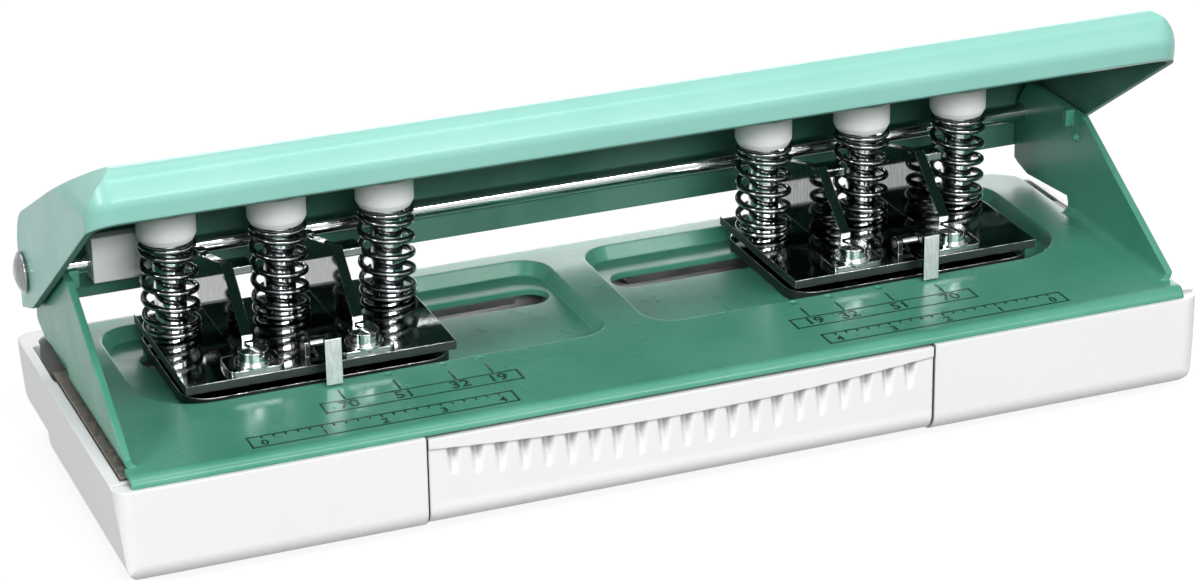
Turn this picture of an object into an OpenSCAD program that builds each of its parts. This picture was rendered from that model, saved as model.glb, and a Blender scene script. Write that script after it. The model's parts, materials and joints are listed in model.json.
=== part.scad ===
// Six-hole punch for planner pages.
// Two sprung punch carriages slide along a painted plate, and one long handle presses all six punches.
// Units are millimetres. +X runs along the length, +Y to the back and +Z up.
// The origin lies on the table, under the middle of the base.
// Inside the modules, y is the distance behind the base's front face: in_frame() moves it to the origin.

/* [Overall] */
// Length of the base
base_length = 192; // [172:1:230]
// Depth of the base, front face to back face
base_depth = 66; // [62:1:80]
// Height of the base's rim above the table
rim_height = 17.6; // [14:0.1:22]
// How far the rubber feet stand out below the base
foot_proud = 0.8; // [0.5:0.1:2]

/* [Hole pattern] */
// Distance between neighbouring holes of one group
hole_pitch = 19; // [16:0.5:22]
// Distance from the outer holes to the base's ends
end_margin = 23; // [22:0.5:30]
// Diameter of a punched hole
hole_diameter = 5.4; // [4:0.1:6]
// Distance from the page's edge to the hole centres
hole_margin = 5.6; // [5:0.1:8]

/* [Base tray] */
// Thickness of the tray's walls
tray_wall = 2.2; // [1.6:0.1:3]
// Thickness of the tray's floor
tray_floor = 2; // [1.5:0.1:3]
// Radius of the tray's upright corners
corner_radius = 3; // [2.5:0.5:6]
// Slope of the end walls, as a distance over their height
end_draft = 1.2; // [0.5:0.1:2]
// Diameter of a rubber foot
foot_diameter = 9; // [6:0.5:12]

/* [Chip door] */
// Width of the opening for the door
door_opening = 90.2; // [70:0.2:110]
// Gap between the door and the tray at each end
door_gap = 0.35; // [0.2:0.05:0.6]
// Radius of the door's round lower edge
door_barrel = 3.2; // [2.5:0.1:3.2]
// Number of finger notches
notch_count = 21; // [11:2:25]
// Distance between finger notches
notch_pitch = 4.05; // [3:0.05:5]
// How far the crescent lip dips in the middle
lip_dip = 3.3; // [2:0.1:5]
// How far the crescent's ends lie below the door's top
lip_edge = 2.9; // [1:0.1:4]
// Length of a finger notch
notch_length = 3.8; // [2:0.1:5]

/* [Base plate] */
// Thickness of the painted sheet
sheet = 1.2; // [0.8:0.1:1.6]
// Height of the plate's top above the tray's rim
plate_rise = 1.5; // [1.3:0.1:2.5]
// Depth of the two recesses
recess_depth = 2.4; // [2:0.1:3]
// Distance from the front face to the recesses
recess_front = 24.5; // [20:0.5:28]
// Radius of the recesses' corners
recess_round = 4.5; // [3:0.5:6]
// Radius of the recesses' front outer corners
recess_wide = 10; // [6:0.5:12]
// Width of the chip slots
slot_width = 7; // [6.4:0.1:8]
// Thickness of the bare steel under-frame
frame_thick = 1; // [0.6:0.1:1.2]

/* [Handle] */
// Slope of the handle's top at rest, in degrees
handle_tilt = 27.5; // [20:0.5:32]
// Swing of the handle from rest to fully pressed, in degrees
handle_swing = 30; // [20:1:32]
// Distance from the pivot to the outside of the front lip
handle_reach = 58.8; // [50:0.2:62]
// Height of the handle's top over the pivot, square to the top
handle_over = 9.5; // [8.5:0.1:12]
// Height of the front lip
lip_height = 9.1; // [7:0.1:12]
// Radius of the lip's upper edge
lip_radius = 4; // [2:0.5:6]
// Radius of the handle's front corners
handle_corner = 5; // [4:0.5:12]
// Radius of the handle's shoulders at the front
shoulder = 10; // [6:0.5:12]
// Length over which the shoulders fade out to the back
shoulder_run = 30; // [20:1:40]
// Radius of the bend between the handle's top and its back wall
heel_radius = 10; // [6:0.5:10]
// Gap between the handle's sides and the plate's cheeks
handle_gap = 0.8; // [0.3:0.05:1]
// Diameter of the pivot rod
rod_diameter = 3.4; // [3:0.1:4]
// Height of the pivot over the plate
pivot_rise = 12.8; // [11:0.1:14]
// Distance from the back face to the pivot
pivot_back = 7.5; // [7:0.1:10]

/* [Carriage] */
// Length of a carriage beyond its outer holes
carriage_over = 4.15; // [3:0.05:6]
// Thickness of the die plate
die_thick = 2; // [1.5:0.1:3]
// Radius of the die plate's corners
die_corner = 5; // [4.5:0.5:8]
// Height of the gap for pages
page_gap = 1.25; // [1:0.05:2]
// Thickness of the guide plate
guide_thick = 1.5; // [1.2:0.1:2.5]
// Travel of a carriage away from the middle
travel_out = 2; // [1:0.5:3]
// Thickness of the web brackets
web_thick = 1.8; // [1.2:0.1:2]
// Thickness of the web brackets' feet
flange_thick = 1; // [0.8:0.1:1.6]
// Sideways place of the web brackets, from the middle of a carriage
web_shift = -1.4; // [-1.6:0.1:0]
// Sideways place of the index lever, from the middle of a carriage
lever_shift = 0.6; // [0:0.1:0.8]
// Distance from the pivot to the punches
punch_offset = 10.5; // [10:0.1:12]

/* [Punches] */
// Length of a spring at rest
spring_length = 16.85; // [15:0.05:18]
// Outer diameter of a spring
spring_od = 10; // [9:0.1:11]
// Diameter of the spring's wire
wire = 1.05; // [0.8:0.05:1.2]
// Number of curls in a spring
spring_turns = 4.75; // [3.75:0.5:5.75]
// Diameter of a cap
cap_diameter = 10; // [9:0.1:11]
// Radius of a cap's domed top
cap_dome = 10; // [9:0.5:12]
// Gap between cap and handle at rest
cap_gap = 0.45; // [0.3:0.05:0.8]

/* [Hidden] */
$fn = 64;

mint = [0.56, 0.85, 0.77];
green = [0.32, 0.61, 0.51];
white = [0.92, 0.92, 0.93];
steel = [0.62, 0.60, 0.57];
chrome = [0.78, 0.79, 0.80];
black = [0.10, 0.10, 0.10];

// Clearances
run_fit = 0.06;
slide_fit = 0.1;
seat_fit = 0.02;
cut = 1;
// A round cut is larger by this much, so that it crosses the flats beside it and doesn't just touch them
cross_over = 0.02;
// Longer than any section of the object
big = 2 * base_depth;

// Heights
floor_top = foot_proud + tray_floor;
plate_top = rim_height + plate_rise;
plate_under = plate_top - sheet;
pan_top = plate_top - recess_depth;
pan_under = pan_top - sheet;
frame_under = plate_under - frame_thick;
die_low = pan_top + slide_fit;
die_top = die_low + die_thick;
guide_low = die_top + page_gap;
guide_top = guide_low + guide_thick;
cap_low = guide_top + spring_length;
pivot_z = plate_top + pivot_rise;

// Depths
pivot_y = base_depth - pivot_back;
punch_y = pivot_y - punch_offset;
stop_front = punch_y + hole_margin;
stop_depth = 3.4;
front_play = 0.7;
back_play = 0.5;
die_back = stop_front + stop_depth;
recess_back = die_back + back_play;
carriage_front = recess_front + front_play;
plate_back = base_depth - 4;
frame_back = base_depth - 18;

// Lengths along X
half = base_length / 2;
end_rim = 3.1;
frame_lap = 0.9;
inner_play = 0.75;
outer_play = 3.65;
slot_end = 4;
middle_pitch = base_length - 2 * end_margin - 4 * hole_pitch;
cheek_out = half - end_rim;
cheek_in = cheek_out - sheet;
handle_in = cheek_out + handle_gap;
handle_out = handle_in + sheet;
carriage_mid = middle_pitch / 2 + hole_pitch;
carriage_half = hole_pitch + carriage_over;
travel_in = (middle_pitch - hole_pitch) / 2;
recess_in = carriage_mid - carriage_half - travel_in - inner_play;
recess_out = carriage_mid + carriage_half + travel_out + outer_play;
door_half = door_opening / 2 - door_gap;

// Places of the index holes for middle gaps of 70, 51, 32 and 19, as shares of the inward travel
index_steps = [0, 0.373, 0.745, 1];

// Lower edges of the tray, and the ledge that carries the under-frame
end_round = 4;
rear_round = 7.5;
rear_from = base_depth - 16;
ledge = 0.8;
cavity_half = half - tray_wall - ledge;

// Bends of the painted sheet
fold_out = 1.8;
fold_in = fold_out - sheet;
bend_out = 2.7;
bend_in = bend_out - sheet;
cheek_front = 5;
cheek_rear = 40;
cheek_low = plate_under + bend_out;
cheek_top = pivot_z + 6.6;

// Recess walls lean outwards by this much over their height
pan_run = recess_depth / 2;
pan_grow = sheet * 0.62;

// Handle
handle_under = handle_over - sheet;
rear_reach = 3.9;
rear_low = plate_top + 5;
rear_clear = 0.4;
heel_z = handle_over - heel_radius;
heel = [(rear_reach - heel_radius) / cos(handle_tilt) - heel_z * tan(handle_tilt), heel_z];
heel_rest = turned(heel, -handle_tilt);
heel_step = 30;
rod_r = rod_diameter / 2;
pin_r = hole_diameter / 2;
door_axis = foot_proud + 3.5;
hinge_r = 1.3;

// Index lever
lever_x = carriage_mid + lever_shift;
lever_y = recess_front + 5.5;
lever_z = guide_top + 1.5;
lever_half = 1.4;
lever_play = 0.3;
lever_ear = 0.8;
lever_pin_r = 0.6;

// Web brackets
web_step = hole_pitch / 2;
web_screw_y = recess_front + 3.7;
web_front = web_screw_y + 2.9;
flange_half = 4.7;
screw_r = 1.3;

// Screw posts and feet
boss_x = half - 7.4;
boss_y = [21, 38];
foot_x = half - 14.5;
foot_y = [11, base_depth - 12];

// Top of a cap's dome that touches the handle's underside, less the gap
dome_centre = pivot_z
    + (handle_under - cap_dome + punch_offset * sin(handle_tilt)) / cos(handle_tilt) - cap_gap;
cap_top = dome_centre + cap_dome;

// A point turned about the origin of its plane
function turned(p, angle) = [
    p[0] * cos(angle) - p[1] * sin(angle),
    p[0] * sin(angle) + p[1] * cos(angle)
];

// Place of a punch along X, counted from the middle of the object
function punch_x(i) = middle_pitch / 2 + (i - 1) * hole_pitch;

module in_frame() {
    translate([0, -base_depth / 2, 0]) children();
}

// Draws its children on the left or on the right
module on_side(side) {
    if (side < 0) mirror([1, 0, 0]) children();
    else children();
}

// Draws its children on the right carriage or on its copy on the left
module on_carriage(side) {
    translate([side < 0 ? -2 * carriage_mid : 0, 0, 0]) children();
}

// Extrudes a (y, z) outline along X
module along_x(from, to) {
    translate([from, 0, 0]) rotate([90, 0, 90]) linear_extrude(height = to - from) children();
}

// Extrudes an (x, z) outline along Y
module along_y(from, to) {
    translate([0, to, 0]) rotate([90, 0, 0]) linear_extrude(height = to - from) children();
}

module rounded(x0, x1, y0, y1, r) {
    translate([x0 + r, y0]) square([x1 - x0 - 2 * r, y1 - y0]);
    translate([x0, y0 + r]) square([x1 - x0, y1 - y0 - 2 * r]);
    for (x = [x0 + r, x1 - r], y = [y0 + r, y1 - r]) translate([x, y]) circle(r = r);
}

// A dish with leaning walls and round corners, used for both faces of a pressed recess
module dish(x0, x1, y0, y1, r, low, high, run) {
    along_x(x0 + r, x1 - r) polygon([[y0, low], [y1, low], [y1 + run, high], [y0 - run, high]]);
    along_y(y0 + r, y1 - r) polygon([[x0, low], [x1, low], [x1 + run, high], [x0 - run, high]]);
    for (x = [x0 + r, x1 - r], y = [y0 + r, y1 - r]) {
        translate([x, y, low]) cylinder(h = high - low, r1 = r, r2 = r + run);
    }
}

// One face of a recess: its front outer corner is rounder than the others
module recess(grow, low, high, run) {
    x0 = recess_in - grow;
    x1 = recess_out + grow;
    y0 = recess_front - grow;
    y1 = recess_back + grow;
    lap = 1.2 * recess_wide;
    dish(x0, x1 - lap, y0, y1, recess_round + grow, low, high, run);
    dish(x0 + lap, x1, y0, y1, recess_wide + grow, low, high, run);
    dish(x1 - 2 * lap, x1, y0 + lap, y1, recess_round + grow, low, high, run);
}

// A quarter ring about the origin: the section of a bend, in the quadrant given by two signs
module bend_section(outer, inner, sx, sy) {
    intersection() {
        difference() {
            circle(r = outer);
            circle(r = inner);
        }
        translate([sx < 0 ? -outer : 0, sy < 0 ? -outer : 0]) square(outer);
    }
}

module tray_outer() {
    low = foot_proud;
    end_low = half - end_draft;
    end_r = end_round;
    front_r = 3.5;
    back_r = 5;
    back_low = base_depth - 1;
    intersection() {
        translate([0, 0, low]) linear_extrude(height = rim_height - low)
            rounded(-half, half, 0, base_depth, corner_radius);
        along_y(0, base_depth) {
            polygon([
                [-half, rim_height], [half, rim_height], [end_low, low + end_r], [end_low - end_r, low + end_r],
                [end_low - end_r, low], [end_r - end_low, low], [end_r - end_low, low + end_r],
                [-end_low, low + end_r]
            ]);
            for (s = [-1, 1]) translate([s * (end_low - end_r), low + end_r]) circle(r = end_r);
        }
        along_x(-half, half) {
            polygon([
                [0, rim_height], [0, low + front_r], [front_r, low + front_r], [front_r, low],
                [back_low - back_r, low], [back_low - back_r, low + back_r], [back_low, low + back_r],
                [base_depth, rim_height]
            ]);
            translate([front_r, low + front_r]) circle(r = front_r);
            translate([back_low - back_r, low + back_r]) circle(r = back_r);
        }
    }
}

module at_corners(x, ys) {
    for (s = [-1, 1], y = ys) translate([s * x, y, 0]) children();
}

// The space in the tray, with sloping lower edges where the outside is round
module tray_cavity() {
    end_slope = 3.5;
    back_slope = 3;
    back = base_depth - tray_wall;
    above = rim_height + cut;
    intersection() {
        translate([0, 0, floor_top]) linear_extrude(height = rim_height)
            rounded(-cavity_half, cavity_half, tray_wall, back, 3);
        along_y(0, base_depth) polygon([
            [-cavity_half, above], [-cavity_half, floor_top + end_slope], [end_slope - cavity_half, floor_top],
            [cavity_half - end_slope, floor_top], [cavity_half, floor_top + end_slope], [cavity_half, above]
        ]);
        along_x(-half, half) polygon([
            [0, floor_top], [back - back_slope, floor_top], [back, floor_top + back_slope], [back, above],
            [0, above]
        ]);
    }
}

// What is taken off to round the ends' lower edges more behind rear_from
module rear_edge() {
    lean = atan(end_draft / (rim_height - foot_proud - end_round));
    out = [cos(lean), -sin(lean)];
    centre = [
        half - end_draft - (rear_round - (rear_round - end_round) * sin(lean)) / cos(lean),
        foot_proud + rear_round
    ];
    along_y(rear_from, base_depth + cut) translate(centre) difference() {
        polygon([[0, 0], 2 * rear_round * out, 2 * rear_round * [1, -1], [0, -2 * rear_round]]);
        circle(r = rear_round + cross_over);
    }
}

module base_tray() {
    seat_x = cheek_out + frame_lap + 0.2;
    seat_front = cheek_front - 1;
    color(white) in_frame() difference() {
        union() {
            difference() {
                tray_outer();
                tray_cavity();
                // seat of the under-frame on the ledge
                translate([-seat_x, seat_front, frame_under])
                    cube([2 * seat_x, frame_back - seat_front, rim_height]);
                for (s = [-1, 1]) translate([s * cheek_out, 52, 0]) rim_gap();
            }
            // posts for the screws from below
            at_corners(boss_x, boss_y) translate([0, 0, floor_top - 0.5])
                cylinder(h = frame_under - floor_top + 0.5, r = 3.4);
            // walls that carry the door's pivots
            for (s = [-1, 1]) on_side(s) translate([door_opening / 2, 0.9, floor_top - 0.5])
                cube([tray_wall, 13, frame_under - floor_top + 0.5]);
            // low ribs across the floor
            for (s = [-1, 1]) on_side(s) translate([door_opening / 2 + 18, tray_wall - 0.5, floor_top - 0.5])
                cube([1.4, base_depth - 2 * tray_wall - 4, 2.5]);
        }
        // opening for the door, down through the floor's front edge
        translate([-door_opening / 2, -cut, 0])
            cube([door_opening, 3.5 + door_barrel + 0.8 + cut, rim_height + cut]);
        for (s = [-1, 1]) on_side(s) rear_edge();
        // seat of the plate's front fold
        translate([-half - cut, -cut, plate_top - fold_out]) cube([base_length + 2 * cut, 4, rim_height]);
        for (s = [-1, 1]) on_side(s) translate([door_opening / 2 - cut, 3.5, door_axis]) rotate([0, 90, 0])
            cylinder(h = tray_wall + 2 * cut, r = hinge_r + run_fit);
        at_corners(boss_x, boss_y) {
            translate([0, 0, foot_proud - cut]) cylinder(h = 1.7 + cut, r = 3);
            cylinder(h = rim_height + cut, r = screw_r + run_fit);
        }
        at_corners(foot_x, foot_y) translate([0, 0, foot_proud - cut])
            cylinder(h = 0.8 + cut, r = foot_diameter / 2 + 0.2);
        // shallow panel under the floor
        translate([0, 0, foot_proud - cut]) linear_extrude(height = cut + 0.4)
            rounded(20 - half, half - 20, 18, base_depth - 19, 4);
    }
}

// The dark gap between the rim and the back part of a cheek
module rim_gap() {
    translate([0, 0, rim_height - 4]) linear_extrude(height = rim_height) rounded(-1.5, 1.5, -8, 8, 1);
}

// Crescent lip of the door: everything above an arc that dips in the middle
module above_arc(dip_z) {
    arc_r = (door_half * door_half + lip_dip * lip_dip) / (2 * lip_dip);
    intersection() {
        translate([-door_half, 0]) square([2 * door_half, rim_height]);
        translate([0, dip_z + arc_r]) circle(r = arc_r, $fn = 200);
    }
}

module chip_door() {
    top = plate_top - fold_out - 0.3;
    dip_z = top - lip_edge - lip_dip;
    face = 3.5 - door_barrel;
    arc_r = (door_half * door_half + lip_dip * lip_dip) / (2 * lip_dip);
    color(white) in_frame() difference() {
        union() {
            along_x(-door_half, door_half) {
                translate([face, door_axis]) square([2.5, top - door_axis]);
                translate([3.5, door_axis]) circle(r = door_barrel);
            }
            intersection() {
                along_y(0, 1) above_arc(dip_z);
                translate([-door_half, 0, 0]) cube([2 * door_half, 2, top]);
            }
            for (s = [-1, 1]) on_side(s) translate([door_half - 1, 3.5, door_axis]) rotate([0, 90, 0])
                cylinder(h = tray_wall + door_gap, r = hinge_r);
            // stiffening ribs on the inside
            for (x = [-30, -10, 10, 30]) translate([x - 0.7, face + 2, door_axis])
                cube([1.4, 1.8, top - door_axis - 2]);
        }
        // finger notches that hang from the arc and fade out downwards
        for (i = [0:notch_count - 1]) {
            x = (i - (notch_count - 1) / 2) * notch_pitch;
            rise = dip_z + arc_r - sqrt(arc_r * arc_r - x * x);
            intersection() {
                along_y(-cut, 2) polygon([
                    [x - 1.1, rise], [x + 1.1, rise], [x + 0.2, rise - notch_length], [x - 0.2, rise - notch_length]
                ]);
                along_x(x - 2, x + 2)
                    polygon([[face - 0.5, rise - notch_length - 0.2], [face + 1.3, rise], [face - 0.5, rise]]);
            }
        }
    }
}

// Bare steel sheet under the painted plate: its ends show beside the cheeks
module under_frame() {
    edge = pan_run + sheet + 0.4;
    color(steel) in_frame() difference() {
        translate([-cheek_out - frame_lap, cheek_front - 0.4, frame_under])
            cube([2 * (cheek_out + frame_lap), frame_back - cheek_front, frame_thick]);
        for (s = [-1, 1]) on_side(s) translate([recess_in - edge, recess_front - edge, frame_under - cut])
            cube([recess_out - recess_in + 2 * edge, base_depth, frame_thick + 2 * cut]);
        at_corners(boss_x, boss_y) cylinder(h = plate_top, r = screw_r + run_fit);
    }
}

// Distance from the pivot to a flat in front of the handle's heel, which leans by an angle
function room_at(lean) = heel_rest * [cos(lean), sin(lean)]
    + (heel_radius - sheet - rear_clear) * (lean == 0 ? 1 : cos(heel_step / 2));

module in_front(swing, lean) {
    rotate(swing + lean) translate([room_at(lean) - big, -big]) square([big, 2 * big]);
}

// Room in front of the handle's back wall and heel, at rest and fully pressed
module back_room() {
    translate([pivot_y, pivot_z]) intersection() {
        in_front(0, 0);
        in_front(0, heel_step / 2);
        in_front(handle_swing, 0);
        in_front(handle_swing, heel_step / 2);
        in_front(handle_swing, 1.5 * heel_step);
    }
}

module cheek_outline() {
    slope_top = 36;
    intersection() {
        polygon([
            [cheek_front, cheek_low], [slope_top, cheek_top], [base_depth, cheek_top],
            [base_depth, plate_top + 5.5], [pivot_y + 1, plate_top + 2.6], [pivot_y - 3, plate_top + 1.6],
            [cheek_rear + 0.5, plate_top + 2.8], [cheek_rear, cheek_low]
        ]);
        back_room();
    }
}

module base_plate() {
    color(green) in_frame() difference() {
        union() {
            // flat sheet, narrower where the cheeks' bends are
            translate([0, 0, plate_under]) linear_extrude(height = sheet) {
                translate([-cheek_out, fold_out + 0.8]) square([2 * cheek_out, cheek_front - fold_out - 0.8]);
                translate([bend_out - cheek_out, cheek_front - 0.5])
                    square([2 * (cheek_out - bend_out), cheek_rear]);
                translate([0, cheek_rear - 1])
                    rounded(1.4 - cheek_out, cheek_out - 1.4, -6, plate_back - cheek_rear + 1, 6);
            }
            // fold at the front edge
            along_x(-cheek_out, cheek_out) translate([0.8 + fold_out, plate_top - fold_out])
                bend_section(fold_out, fold_in, -1, 1);
            // fold at the back edge
            along_x(12 - half, half - 12) translate([plate_back - 0.2, plate_top - 2])
                bend_section(2, 2 - sheet, 1, 1);
            for (s = [-1, 1]) on_side(s) {
                along_y(cheek_front, cheek_rear) translate([cheek_out - bend_out, cheek_low])
                    bend_section(bend_out, bend_in, 1, -1);
                along_x(cheek_in, cheek_out) cheek_outline();
                // pressed bump and stop lug on the cheek's inner face
                translate([cheek_in, cheek_rear - 2, pivot_z + 2.2]) sphere(r = 0.9);
                translate([cheek_in - 1.6, cheek_rear - 1, pivot_z + 4]) cube([1.7, 1.2, 3]);
                // underside of the recess
                recess(pan_grow, pan_under, plate_under + 0.05, pan_run);
            }
        }
        for (s = [-1, 1]) on_side(s) {
            recess(0, pan_top, pan_top + 2 * recess_depth, 2 * pan_run);
            translate([0, 0, pan_under - cut]) linear_extrude(height = sheet + 2 * cut)
                rounded(recess_in + 1.4, recess_out - slot_end, punch_y - slot_width / 2, punch_y + slot_width / 2,
                        slot_width / 2 - 0.01);
            along_x(cheek_in - cut, cheek_out + cut) translate([pivot_y, pivot_z]) circle(r = rod_r + seat_fit);
            // index holes under the lever's pointer, one for each page size
            for (step = index_steps) translate([
                carriage_mid + s * lever_shift - step * travel_in, recess_front - 2.3, plate_under - cut
            ])
                    cylinder(h = sheet + 2 * cut, r = 0.7);
        }
    }
}

// Steel rail under the recess, behind the slot
module slot_rail(side) {
    color(chrome) in_frame() on_side(side)
        translate([recess_in + 6.2, punch_y + slot_width / 2 + 0.2, pan_under - 1.4])
            cube([recess_out - recess_in - 10, 3.6, 1.4]);
}

module pivot_rod() {
    color(chrome) in_frame() along_x(-handle_out - 0.3, handle_out + 0.3)
        translate([pivot_y, pivot_z]) circle(r = rod_r);
}

module rivet(side) {
    color(chrome) in_frame() on_side(side) translate([handle_out + 0.3, pivot_y, pivot_z]) rotate([0, 90, 0])
        intersection() {
            cylinder(h = 1.4, r = 3.6);
            translate([0, 0, -4.6]) sphere(r = 6.1);
        }
}

// White plastic block on the left end of the rod
module rod_spacer() {
    color(white) in_frame() difference() {
        along_x(-cheek_in + 7.6, -cheek_in + 17.4) intersection() {
            translate([pivot_y - 3.6, pivot_z - 2.6]) square([9, 8]);
            back_room();
        }
        along_x(-half, half) translate([pivot_y, pivot_z]) circle(r = rod_r + seat_fit);
    }
}

// The handle's sheet as a solid block about the pivot, with its top level: inset is 0 outside and one sheet inside
module handle_shape(inset, lip_end, ear_low, rear_drop) {
    side = handle_out - inset;
    top = handle_over - inset;
    front = inset - handle_reach;
    lip_r = lip_radius - inset;
    heel_r = heel_radius - inset;
    rear = rear_reach - inset;
    rear_foot = turned([rear, rear_drop], handle_tilt);
    middle = 45 + handle_tilt / 2;
    difference() {
        intersection() {
            union() {
                along_x(-side, side) polygon([
                    [(rear - top * sin(handle_tilt)) / cos(handle_tilt), top], rear_foot, [-1, ear_low - 0.3],
                    [front, lip_end], [front, top - lip_r], [front + lip_r, top - lip_r], [front + lip_r, top]
                ]);
                along_x(-side, side) translate([front + lip_r, top - lip_r]) circle(r = lip_r);
            }
            translate([0, 0, -big]) linear_extrude(height = 2 * big)
                rounded(-side, side, front, big, handle_corner - inset);
        }
        // round heel between the top and the back wall
        along_x(-handle_out - cut, handle_out + cut) translate(heel) difference() {
            polygon(2 * heel_radius * [
                [0, 0], [cos(handle_tilt), sin(handle_tilt)], 2 * [cos(middle), sin(middle)], [0, 1]
            ]);
            circle(r = heel_r + cross_over);
        }
        // shoulders that slope down to the front
        for (s = [-1, 1]) on_side(s) translate([handle_out - shoulder, -handle_reach, handle_over - shoulder])
            rotate([atan(shoulder / shoulder_run), 0, 0]) along_y(-shoulder_run, 2 * shoulder_run) difference() {
                square(2 * shoulder);
                circle(r = shoulder - inset + cross_over);
            }
    }
}

module handle() {
    lip_end = handle_over - lip_height;
    ear_low = -6;
    open = base_depth / 2;
    color(mint) in_frame() translate([0, pivot_y, pivot_z]) rotate([-handle_tilt, 0, 0]) difference() {
        handle_shape(0, lip_end, ear_low, rear_low - pivot_z);
        handle_shape(sheet, lip_end - open, ear_low - open, rear_low - pivot_z - open);
        rotate([0, 90, 0]) cylinder(h = base_length + 20, r = rod_r + run_fit, center = true);
    }
}

module foot(x, y) {
    color(black) in_frame() translate([x, y, 0]) {
        cylinder(h = 0.4, r1 = foot_diameter / 2 - 0.4, r2 = foot_diameter / 2);
        translate([0, 0, 0.4]) cylinder(h = foot_proud + 0.4, r = foot_diameter / 2);
    }
}

// Round-headed screw with a cross, standing on z = 0 with its shank below
module cross_screw(head_r, head_h, shank_r, shank) {
    difference() {
        union() {
            intersection() {
                cylinder(h = head_h, r = head_r);
                translate([0, 0, head_h - head_r * 1.6]) sphere(r = head_r * 1.6);
            }
            translate([0, 0, -shank]) cylinder(h = shank + 0.2, r = shank_r);
        }
        for (a = [0, 90]) rotate(a) translate([-head_r * 0.55, -0.32, head_h - 0.8])
            cube([head_r * 1.1, 0.64, 2]);
    }
}

module base_screw(x, y) {
    well = foot_proud + 1.7;
    color(steel) in_frame() translate([x, y, well]) mirror([0, 0, 1])
        cross_screw(2.7, 1.4, screw_r, plate_under - well);
}

module die_plate(side) {
    color(chrome) in_frame() on_side(side) difference() {
        translate([0, 0, die_low]) linear_extrude(height = die_thick)
            rounded(carriage_mid - carriage_half, carriage_mid + carriage_half, carriage_front, die_back, die_corner);
        for (i = [1:3]) translate([punch_x(i), punch_y, die_low - cut])
            cylinder(h = die_thick + 2 * cut, r = pin_r + run_fit);
    }
}

module guide_plate(side) {
    ear_mid = lever_half + lever_play + lever_ear / 2;
    color(chrome) in_frame() on_carriage(side) difference() {
        union() {
            translate([carriage_mid - carriage_half, carriage_front, guide_low])
                cube([2 * carriage_half, die_back + 0.6 - carriage_front, guide_thick]);
            for (x = [lever_x - ear_mid, lever_x + ear_mid]) along_x(x - lever_ear / 2, x + lever_ear / 2) {
                translate([lever_y - hinge_r, guide_top - 0.5]) square([2 * hinge_r, lever_z - guide_top + 0.5]);
                translate([lever_y, lever_z]) circle(r = hinge_r);
            }
        }
        for (i = [1:3]) translate([punch_x(i), punch_y, guide_low - cut])
            cylinder(h = guide_thick + 2 * cut, r = pin_r + run_fit);
        for (s = [-1, 1]) translate([carriage_mid + web_shift + s * web_step, web_screw_y, guide_low - cut])
            cylinder(h = guide_thick + 2 * cut, r = screw_r + seat_fit);
        translate([lever_x, lever_y, lever_z]) rotate([0, 90, 0])
            cylinder(h = 10, r = lever_pin_r + seat_fit, center = true);
    }
}

module paper_stop(side) {
    color(chrome) in_frame() on_side(side)
        translate([carriage_mid - carriage_half + die_corner, stop_front, die_top])
            cube([2 * (carriage_half - die_corner), stop_depth, page_gap]);
}

module web_outline() {
    intersection() {
        polygon([
            [web_front, guide_top], [web_front, guide_top + 4.6], [pivot_y - 17.3, pivot_z + 3],
            [pivot_y - 14, pivot_z + 3.6], [base_depth, pivot_z + 3.6], [base_depth, pivot_z - 4],
            [pivot_y - 3, guide_top]
        ]);
        back_room();
    }
}

module web(side, where) {
    x = carriage_mid + web_shift + where * web_step;
    color(chrome) in_frame() on_carriage(side) difference() {
        union() {
            along_x(x - web_thick / 2, x + web_thick / 2) web_outline();
            // foot under the screw, and a small tab bent out at the top
            translate([0, 0, guide_top]) linear_extrude(height = flange_thick)
                rounded(x - flange_half, x + flange_half, carriage_front + 0.3, web_screw_y + 4, 1.2);
            translate([x, pivot_y - 17.5, pivot_z + 0.8]) cube([web_thick / 2 + 3.4, 5, 1.4]);
        }
        along_x(x - 4, x + 4) translate([pivot_y, pivot_z]) circle(r = rod_r + run_fit);
        translate([x, web_screw_y, guide_top - cut])
            cylinder(h = flange_thick + 2 * cut, r = screw_r + seat_fit);
    }
}

module web_screw(side, where) {
    color(chrome) in_frame() on_carriage(side)
        translate([carriage_mid + web_shift + where * web_step, web_screw_y, guide_top + flange_thick])
            cross_screw(2.6, 1.7, screw_r, flange_thick + guide_thick);
}

// Lever that carries the pointer: its thumb tab stands in front of the carriage
module index_lever(side) {
    tab_y = recess_front - 3.6;
    tab_low = plate_top + 0.4;
    color(chrome) in_frame() on_carriage(side) difference() {
        along_x(lever_x - lever_half, lever_x + lever_half) {
            translate([tab_y, tab_low]) square([1, 8.1]);
            translate([tab_y, lever_z - 0.5]) square([lever_y - tab_y, 1]);
            translate([lever_y, lever_z]) circle(r = hinge_r - 0.1);
        }
        translate([lever_x, lever_y, lever_z]) rotate([0, 90, 0])
            cylinder(h = 10, r = lever_pin_r + run_fit, center = true);
    }
}

module lever_pin(side) {
    reach = lever_half + lever_play + lever_ear + 0.3;
    color(steel) in_frame() on_carriage(side) along_x(lever_x - reach, lever_x + reach)
        translate([lever_y, lever_z]) circle(r = lever_pin_r);
}

// Punch with a hollow-ground tip that waits inside the guide plate
module punch_pin(side, i) {
    tip = guide_low + 0.4;
    color(chrome) in_frame() on_side(side) translate([punch_x(i), punch_y, 0]) difference() {
        translate([0, 0, tip]) cylinder(h = cap_low + 3 - tip, r = pin_r);
        translate([0, 0, tip - 5.3]) rotate([0, 90, 0]) cylinder(h = 20, r = 6, center = true);
    }
}

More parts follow.
